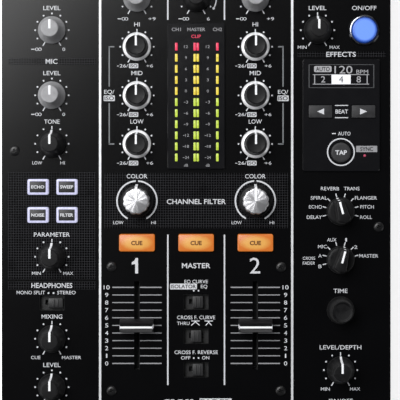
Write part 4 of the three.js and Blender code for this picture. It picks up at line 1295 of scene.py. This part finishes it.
def side_screws(base_piece):
    """Countersunk screws that lie just under the face of each side wall, each with a thin dark cross on its
    head: painted shade in place of a cross recess.
    """
    low, high = corners("base_pan")
    cutter, heads, crosses = Shape(), Shape(), Shape()
    for side in (-1, 1):
        for y in (low.y + 22, (low.y + high.y) / 2, high.y - 22):
            for z in (20, 78):
                spot = shift(side * high.x, y, z) @ spin(side * 90, "Y")
                cutter.stack([(circle(1.9, 32), -1.3), (circle(3.5, 32), 0.1)], spot)
                heads.turn([(0, -1.2), (1.7, -1.2), (3.2, -0.15), (3.1, -0.08), (0, -0.08)], spot, steps=32)
                # Painted shade: a flat dark cross laid on the head stands in for the shaded hollow of a cross
                # recess.
                crosses.stack([(cross(1.8, 0.4), -0.1), (cross(1.8, 0.4), -0.04)], spot)
    cut(base_piece, cutter)
    heads.hand_over("side_screws", SCREW, "screw_black")
    crosses.hand_over("side_screw_painted_recess_shade", DARK_INK_AND_PAINTED_SHADE, "screw_black")


def vents(base_piece):
    """Rows of slots for air through the floor under the power supply and high in both side walls."""
    low, high = corners("base_pan")
    cutter = Shape()
    for row in (-42, 28):
        for column in range(12):
            cutter.tile(18 + 6.5 * column, row, 2.6, 26, low.z - 1, 4, 1.2)
    for side in (-1, 1):
        wall = shift(side * high.x, 70, 58) @ spin(90, "Y")
        for column in range(9):
            cutter.stack([(rounded_rectangle(16, 2.4, 1.1), -3), (rounded_rectangle(16, 2.4, 1.1), 3)],
                         wall @ shift(0, 6 * column - 24, 0))
    cut(base_piece, cutter)


# ---- chassis ----------------------------------------------------------------------------------


def dressed(node, material, bevel=0.3, body=ROOT):
    """The CAD node's own shape with softened edges, its front set back by the thickness of the printing."""
    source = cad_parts[node]
    bm = bmesh.new()
    bm.from_mesh(source.data)
    bm.transform(source.matrix_world)
    for vert in bm.verts:
        vert.co.y = max(vert.co.y, CAD_BOX[0][1] + 2 * PRINT_LIFT * MM)
    bmesh.ops.remove_doubles(bm, verts=bm.verts, dist=1e-6)
    bmesh.ops.dissolve_limit(bm, angle_limit=math.radians(0.5), verts=bm.verts, edges=bm.edges)
    mesh = bpy.data.meshes.new(node + "_body")
    bm.to_mesh(mesh)
    bm.free()
    piece = bpy.data.objects.new(node + "_body", mesh)
    bpy.context.scene.collection.objects.link(piece)
    modifier = piece.modifiers.new("edges", "BEVEL")
    modifier.width = bevel * MM
    modifier.segments = 2
    modifier.limit_method = "ANGLE"
    modifier.angle_limit = math.radians(40)
    apply_modifiers(piece)
    piece.data.shade_flat()
    piece.data.materials.append(material)
    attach(piece, body)
    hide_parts(node)
    return piece


def foot(node):
    c = middle(node)
    top = corners("base_pan")[0].z
    profile = soften([(0, 0), (7.6, 0), (8.6, 0.4), (9.7, 2.2), (10, top - 1.5), (10, top), (0, top)], 0.5)
    hollow = [(0, 0.9), (2.9, 0.9), (3.4, 0)]
    shape = Shape().turn(hollow + profile[1:], shift(c.x, c.y, 0), steps=64)
    shape.hand_over(node + "_body", FOOT, "foot_rubber", ROOT, [node])


# ---- sockets ----------------------------------------------------------------------------------

REAR_FACE = corners("rear_panel")[1].y
BOARD_LOW, BOARD_HIGH = corners("input_output_board")
SOCKET_TIP = BOARD_HIGH.y
BARREL_BACK = BOARD_LOW.y + 1
UPPER_Z, LOWER_Z, PAIR_HALF = 57.0, 28.0, 7.5
PHONO_PAIRS = {"AUX": (-68, UPPER_Z), "CH1 LINE": (-43, UPPER_Z), "CH1 PHONO": (-27, UPPER_Z),
               "CH2 LINE": (27, UPPER_Z), "CH2 PHONO": (43, UPPER_Z), "MASTER 2": (4, LOWER_Z)}
BALANCED = {"MASTER 1 L": -94, "MASTER 1 R": -66}
BOOTH = {"BOOTH L": -42, "BOOTH R": -24}
MIC_X, GROUND_X, INLET_X = -94, 30, 72
PHONES_Z = 45
PHONES = {-94: (3.3, 6.6), -72: (1.9, 4.6)}  # place across, then the hole's radius and the nut's


def backwards(x, z, y=0.0):
    """Turns a shape drawn about Z so that its top points out of the back."""
    return shift(x, y, z) @ spin(-90, "X")


def phono_sockets():
    """Pairs of phono sockets, white over red."""
    sleeves, red, white = Shape(), Shape(), Shape()
    tip, seat = SOCKET_TIP, REAR_FACE + 0.05
    sleeve = [(3.55, tip - 8), (3.55, tip - 0.1), (3.65, tip), (4.05, tip), (4.15, tip - 0.15),
              (4.15, tip - 8)]
    insulator = [(1.6, tip - 6), (1.6, tip - 0.5), (3.5, tip - 0.5), (3.5, BARREL_BACK), (1.6, BARREL_BACK)]
    stop = [(0, tip - 6.2), (1.62, tip - 6.2), (1.62, tip - 6.0), (0, tip - 6.0)]
    washer = [(4.25, seat), (4.25, seat + 1.25), (5.2, seat + 1.25), (5.6, seat + 0.85), (5.6, seat)]
    for x, z in PHONO_PAIRS.values():
        for side, plastic in ((1, white), (-1, red)):
            place = backwards(x, z + side * PAIR_HALF)
            sleeves.ring(sleeve, place, steps=40)
            plastic.soft_ring(insulator, 0.1, place, steps=40)
            plastic.turn(stop, place, steps=24)
            plastic.ring(washer, place, steps=40)
    sleeves.hand_over("phono_sleeves", CONTACT, "contact_metal", ROOT, ["input_output_board"])
    red.hand_over("phono_red_insulators", SOCKET_RED, "socket_red")
    white.hand_over("phono_white_insulators", SOCKET_WHITE, "socket_white")


def contacts(place, radius):
    """Three places a third of a turn apart."""
    for angle in (90, 210, 330):
        a = math.radians(angle)
        yield place @ shift(radius * math.cos(a), radius * math.sin(a), 0)


def round_sockets():
    """The balanced, microphone and booth sockets."""
    shells, pins = Shape(), Shape()
    face, seat, back = REAR_FACE + 1.4, REAR_FACE + 0.05, BARREL_BACK
    flange = [(10.6, face), (12.3, face - 0.4), (12.4, seat), (11.9, seat), (11.9, back)]
    pin = soften([(0, face - 14.2), (1.2, face - 14.2), (1.2, face - 3), (0.7, face - 2), (0, face - 2)], 0.3)
    for x in BALANCED.values():
        place = backwards(x, LOWER_Z)
        shells.soft_ring([(9.5, face - 14), (9.5, face)] + flange + [(9.5, back)], 0.2, place)
        shells.turn([(0, face - 15), (9.55, face - 15), (9.55, face - 14), (0, face - 14)], place)
        for spot in contacts(place, 4.2):
            pins.turn(pin, spot, steps=24)
    place = backwards(MIC_X, UPPER_Z)
    plug = [(3.3, face - 20), (3.3, face - 0.9), (9.2, face - 0.9), (9.2, face)]
    shells.soft_ring(plug + flange + [(3.3, back)], 0.2, place)
    rim = [(0.9, face - 0.88), (0.9, face - 0.8), (1.6, face - 0.8), (1.6, face - 0.88)]
    for spot in contacts(place, 6.2):
        pins.ring(rim, spot, steps=24)
    jack = [(3.3, face - 20), (3.3, face), (5.3, face), (5.4, face - 0.3), (5.4, back), (3.3, back)]
    nut = [(5.5, seat), (5.5, seat + 0.95), (6.9, seat + 0.95), (7.2, seat)]
    for x in BOOTH.values():
        place = backwards(x, LOWER_Z)
        shells.soft_ring(jack, 0.2, place, steps=48)
        pins.ring(nut, place, steps=12)
    shells.hand_over("socket_shells", BLACK, "black_plastic")
    pins.hand_over("socket_pins", CONTACT, "contact_metal")


def usb_socket():
    """A square metal shell of four walls round a plastic tongue."""
    shape, tongue = Shape(), Shape()
    z, back, front = UPPER_Z, BARREL_BACK, REAR_FACE + 0.5
    (outer_x, outer_z), (inner_x, inner_z) = (6.0, 5.5), (4.3, 3.9)
    for left, right in ((-outer_x, -inner_x), (inner_x, outer_x)):
        shape.block((left, back, z - outer_z), (right, front, z + outer_z))
    for low, high in ((-outer_z, -inner_z), (inner_z, outer_z)):
        shape.block((-inner_x, back, z + low), (inner_x, front, z + high))
    tongue.block((-2.8, front - 9.5, z - 1.6), (2.8, front - 1.2, z + 1.6))
    shape.hand_over("usb_shell", CONTACT, "contact_metal")
    tongue.hand_over("usb_tongue", SOCKET_WHITE, "socket_white")


def rear_board():
    """The circuit board that the rear sockets are soldered to."""
    thickness = 1.6
    shape = Shape().block(BOARD_LOW, (BOARD_HIGH.x, BOARD_LOW.y + thickness, BOARD_HIGH.z))
    shape.hand_over("rear_circuit_board", BOARD, "board_green")


def mains():
    """Pins in the mains inlet and the marks on the power rocker."""
    pins, marks = Shape(), Shape()
    z, y = middle("power_inlet").z, corners("power_inlet")[1].y
    for px, pz in ((-7, -1.5), (0, 2.5), (7, -1.5)):
        x = INLET_X + px
        pins.block((x - 1, y - 16.2, z + pz - 2), (x + 1, y - 4, z + pz + 2))
    pins.hand_over("mains_pins", CONTACT, "contact_metal")
    pivot_y, lean, bend = 147, 8, math.degrees(math.atan2(1.4, 9.6))
    rocker = shift(middle("power_rocker").x, pivot_y, z) @ spin(lean, "X")
    upper, lower = (rocker @ shift(0, 5.9, side * 4.8) @ spin(-90 - side * bend, "X") for side in (1, -1))
    marks.block((-0.3, -1.8, 0.02), (0.3, 1.8, 0.07), upper)
    marks.ring([(1.3, 0.02), (1.3, 0.07), (1.85, 0.07), (1.85, 0.02)], lower, steps=32)
    marks.hand_over("power_rocker_marks", WHITE, "print_white", "power_rocker")


def rear_print():
    """The name of each socket, and the terminal for an earth wire."""
    s = Shape()
    out = shift(0, REAR_FACE + 0.03, 0) @ spin(90, "X") @ spin(180, "Y")

    def write(words, x, z, width):
        s.text(words, 0, 0, SMALL_CAP, 0, width, REAR_WEIGHT, shift(x, 0, z) @ out)

    for words, (x, z) in PHONO_PAIRS.items():
        write(words, x, z + 16.5, 1.45 * len(words))
        write("L", x + 8, z + PAIR_HALF, 1.1)
        write("R", x + 8, z - PAIR_HALF, 1.3)
    for words, x in BALANCED.items():
        write(words, x, LOWER_Z - 15.5, 14)
    for words, x in BOOTH.items():
        write(words, x, LOWER_Z + 10, 11)
    write("MIC", MIC_X, UPPER_Z + 16.5, 5)
    write("USB", 0, UPPER_Z + 9.5, 5)
    inlet_top = corners("power_inlet")[1].z
    write("AC IN", INLET_X, inlet_top + 3.5, 8)
    write("POWER", middle("power_rocker").x, inlet_top + 3.5, 10)
    write("GND", GROUND_X, LOWER_Z + 9, 5.5)
    s.hand_over("print_rear", WHITE, "print_white")
    y = REAR_FACE
    post = [(0, y + 0.05), (2.2, y + 0.05), (2.2, y + 1), (4.2, y + 1), (4.2, y + 4.5), (0, y + 4.6)]
    ground = Shape().turn(soften(post, 0.3), backwards(GROUND_X, LOWER_Z), steps=32)
    ground.hand_over("ground_terminal", CONTACT, "contact_metal")


def front_sockets():
    """Nuts and sleeves of the two headphone sockets, and their legend."""
    face = corners("front_panel")[0].y
    nuts, legend = Shape(), Shape()
    for x, (hole, outer) in PHONES.items():
        profile = [(hole - 0.05, -20), (hole - 0.05, -0.2), (outer - 1.6, -0.2), (outer - 1.6, -1.0),
                   (hole + 0.25, -1.2), (hole + 0.25, -20)]
        nuts.soft_ring(profile, 0.15, shift(x, face, PHONES_Z) @ spin(90, "X"), steps=48)
    nuts.hand_over("phones_sleeves", CONTACT, "contact_metal")
    out = shift(sum(PHONES) / 2, face + 0.07, PHONES_Z + 12) @ spin(90, "X")
    legend.text("PHONES", 0, 0, 2.4, 0, 13, REAR_WEIGHT, out)
    legend.hand_over("print_front", WHITE, "print_white")


def board_finish(spot, board_top, is_supply):
    """Which finish a face of a board gets: 0 the board, 1 its parts, 2 the transformer, 3 the heat sink."""
    if spot.z <= board_top:
        return 0
    if is_supply and spot.x > 61 and spot.y < -14:
        return 2
    return 3 if is_supply and 36 < spot.y < 44 else 1


def paint_boards():
    """Gives the circuit boards inside their own finishes, part by part."""
    finishes = {"control_board": (BOARD, BLACK), "power_supply_board": (BOARD, BLACK, COPPER, ALUMINIUM)}
    for node, materials in finishes.items():
        board_top = corners(node)[0].z + 1.7
        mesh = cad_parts[node].data
        mesh.materials.clear()
        for material in materials:
            mesh.materials.append(material)
        for face in mesh.polygons:
            face.material_index = board_finish(face.center / MM, board_top, len(materials) > 2)


# ---- assembly ---------------------------------------------------------------------------------

EFFECT_KEYS = {"echo_button": "ECHO", "sweep_button": "SWEEP",
               "noise_button": "NOISE", "filter_button": "FILTER"}
SCREW_SOLID = screw_solid()

for node in FLARED_KNOBS:
    flared_knob(node)
for node in RINGED_KNOBS:
    ringed_knob(node)
for channel in CHANNELS:
    filter_knob(f"{channel}_filter_knob")
for node in SELECTORS:
    selector_knob(node)
dished_knob("time_knob")

for channel in CHANNELS:
    fader_cap(f"{channel}_fader")
fader_cap("crossfader", 90)
for node in SWITCHES:
    slide_switch(node)
switch_wells()

for node, words in EFFECT_KEYS.items():
    effect_key(node, words)
for node in CUE_KEYS:
    cue_key(node)
beat_key("beat_down_button", -1)
beat_key("beat_up_button", 1)
round_key("tap_button", 5.9, BUTTON_GREY, "dark_button", "TAP")
round_key("send_button", SEND_RADIUS, BLUE, "blue_lens")
round_key("effect_button", 8.6, BLUE, "blue_lens")
bezel("send_button", 7.65, 9.4, 1.5)
bezel("effect_button", 8.95, 10.7, 1.5)

woven_bands()
trims()
print_left_column()
for channel, side in CHANNELS.items():
    print_channel(channel, side)
print_centre()
print_right_column()
meter()
effects_display()

dressed("top_panel", PANEL)
base = dressed("base_pan", CHASSIS)
vents(base)
for node in ("front_panel", "rear_panel"):
    dressed(node, CHASSIS)
dressed("power_inlet", BLACK, 0.4)
dressed("power_rocker", BLACK, 0.4, "power_rocker")
for depth in ("front", "rear"):
    for side in ("left", "right"):
        foot(f"foot_{depth}_{side}")
phono_sockets()
round_sockets()
usb_socket()
rear_board()
mains()
rear_print()
front_sockets()
paint_boards()

TOP_SCREWS = [(-50, -46.6), (50.3, -46.8), (-50, -120), (50, -120), (-107.3, 22), (108, -23.1), (-107.3, 145),
              (107.3, 145), (-107.3, -152), (107.3, -152)]
screws("top_screws", [shift(x, y, PANEL_TOP) for x, y in TOP_SCREWS])
rear_screws()
underside_screws()
side_screws(base)


# ---- floor, light and camera ------------------------------------------------------------------


def floor():
    """A pale studio floor that is lit a little from within, as a light table is."""
    n = Nodes("floor")
    cloud = n.noise(400, 3.0)
    n.set(Base_Color=n.blend(cloud, (0.9, 0.9, 0.9), (0.93, 0.93, 0.93)))
    n.set(Roughness=0.9, Specular_IOR_Level=0.1)
    n.set(Emission_Color=(1, 1, 1, 1), Emission_Strength=0.7)
    mesh = bpy.data.meshes.new("floor")
    r = 6
    mesh.from_pydata([(-r, -r, 0), (r, -r, 0), (r, r, 0), (-r, r, 0)], [], [(0, 1, 2, 3)])
    mesh.materials.append(n.material)
    ground = bpy.data.objects.new("floor", mesh)
    bpy.context.scene.collection.objects.link(ground)


def softbox(name, at, aim, size, power):
    light = bpy.data.lights.new(name, "AREA")
    light.shape = "RECTANGLE"
    light.size, light.size_y = size
    light.energy = power
    holder = bpy.data.objects.new(name, light)
    bpy.context.scene.collection.objects.link(holder)
    holder.location = at
    holder.rotation_euler = (Vector(aim) - Vector(at)).to_track_quat("-Z", "Y").to_euler()
    holder.visible_camera = False


def studio():
    world = bpy.data.worlds.new("studio")
    world.use_nodes = True
    sky = world.node_tree.nodes["Background"].inputs
    sky["Color"].default_value = (0.9, 0.93, 1.0, 1)
    sky["Strength"].default_value = 0.05
    bpy.context.scene.world = world
    softbox("key_light", (-0.605, 0.595, 1.45), (-0.1, 0.1, 0.0), (1.05, 1.05), 28)
    softbox("left_light", (-1.9, -0.2, 0.9), (0, 0, 0.05), (1.2, 1.4), 16)
    softbox("right_light", (1.9, -0.9, 1.1), (0, 0, 0.05), (1.0, 1.2), 8)
    softbox("back_light", (0.6, 2.0, 0.8), (0, 0, 0.05), (1.6, 0.8), 12)


def camera():
    """Straight down over the mixer, a little right of and behind its middle, as it was photographed."""
    right, behind, above_panel = 0.0082, 0.0100, 0.966
    data = bpy.data.cameras.new("camera")
    data.lens, data.sensor_width = 147.0, 36.0
    data.shift_x, data.shift_y = -0.025, -0.0725
    holder = bpy.data.objects.new("camera", data)
    bpy.context.scene.collection.objects.link(holder)
    holder.location = (right, behind, PANEL_TOP * MM + above_panel)
    bpy.context.scene.camera = holder


floor()
studio()
camera()
bpy.context.scene.view_settings.view_transform = "Standard"
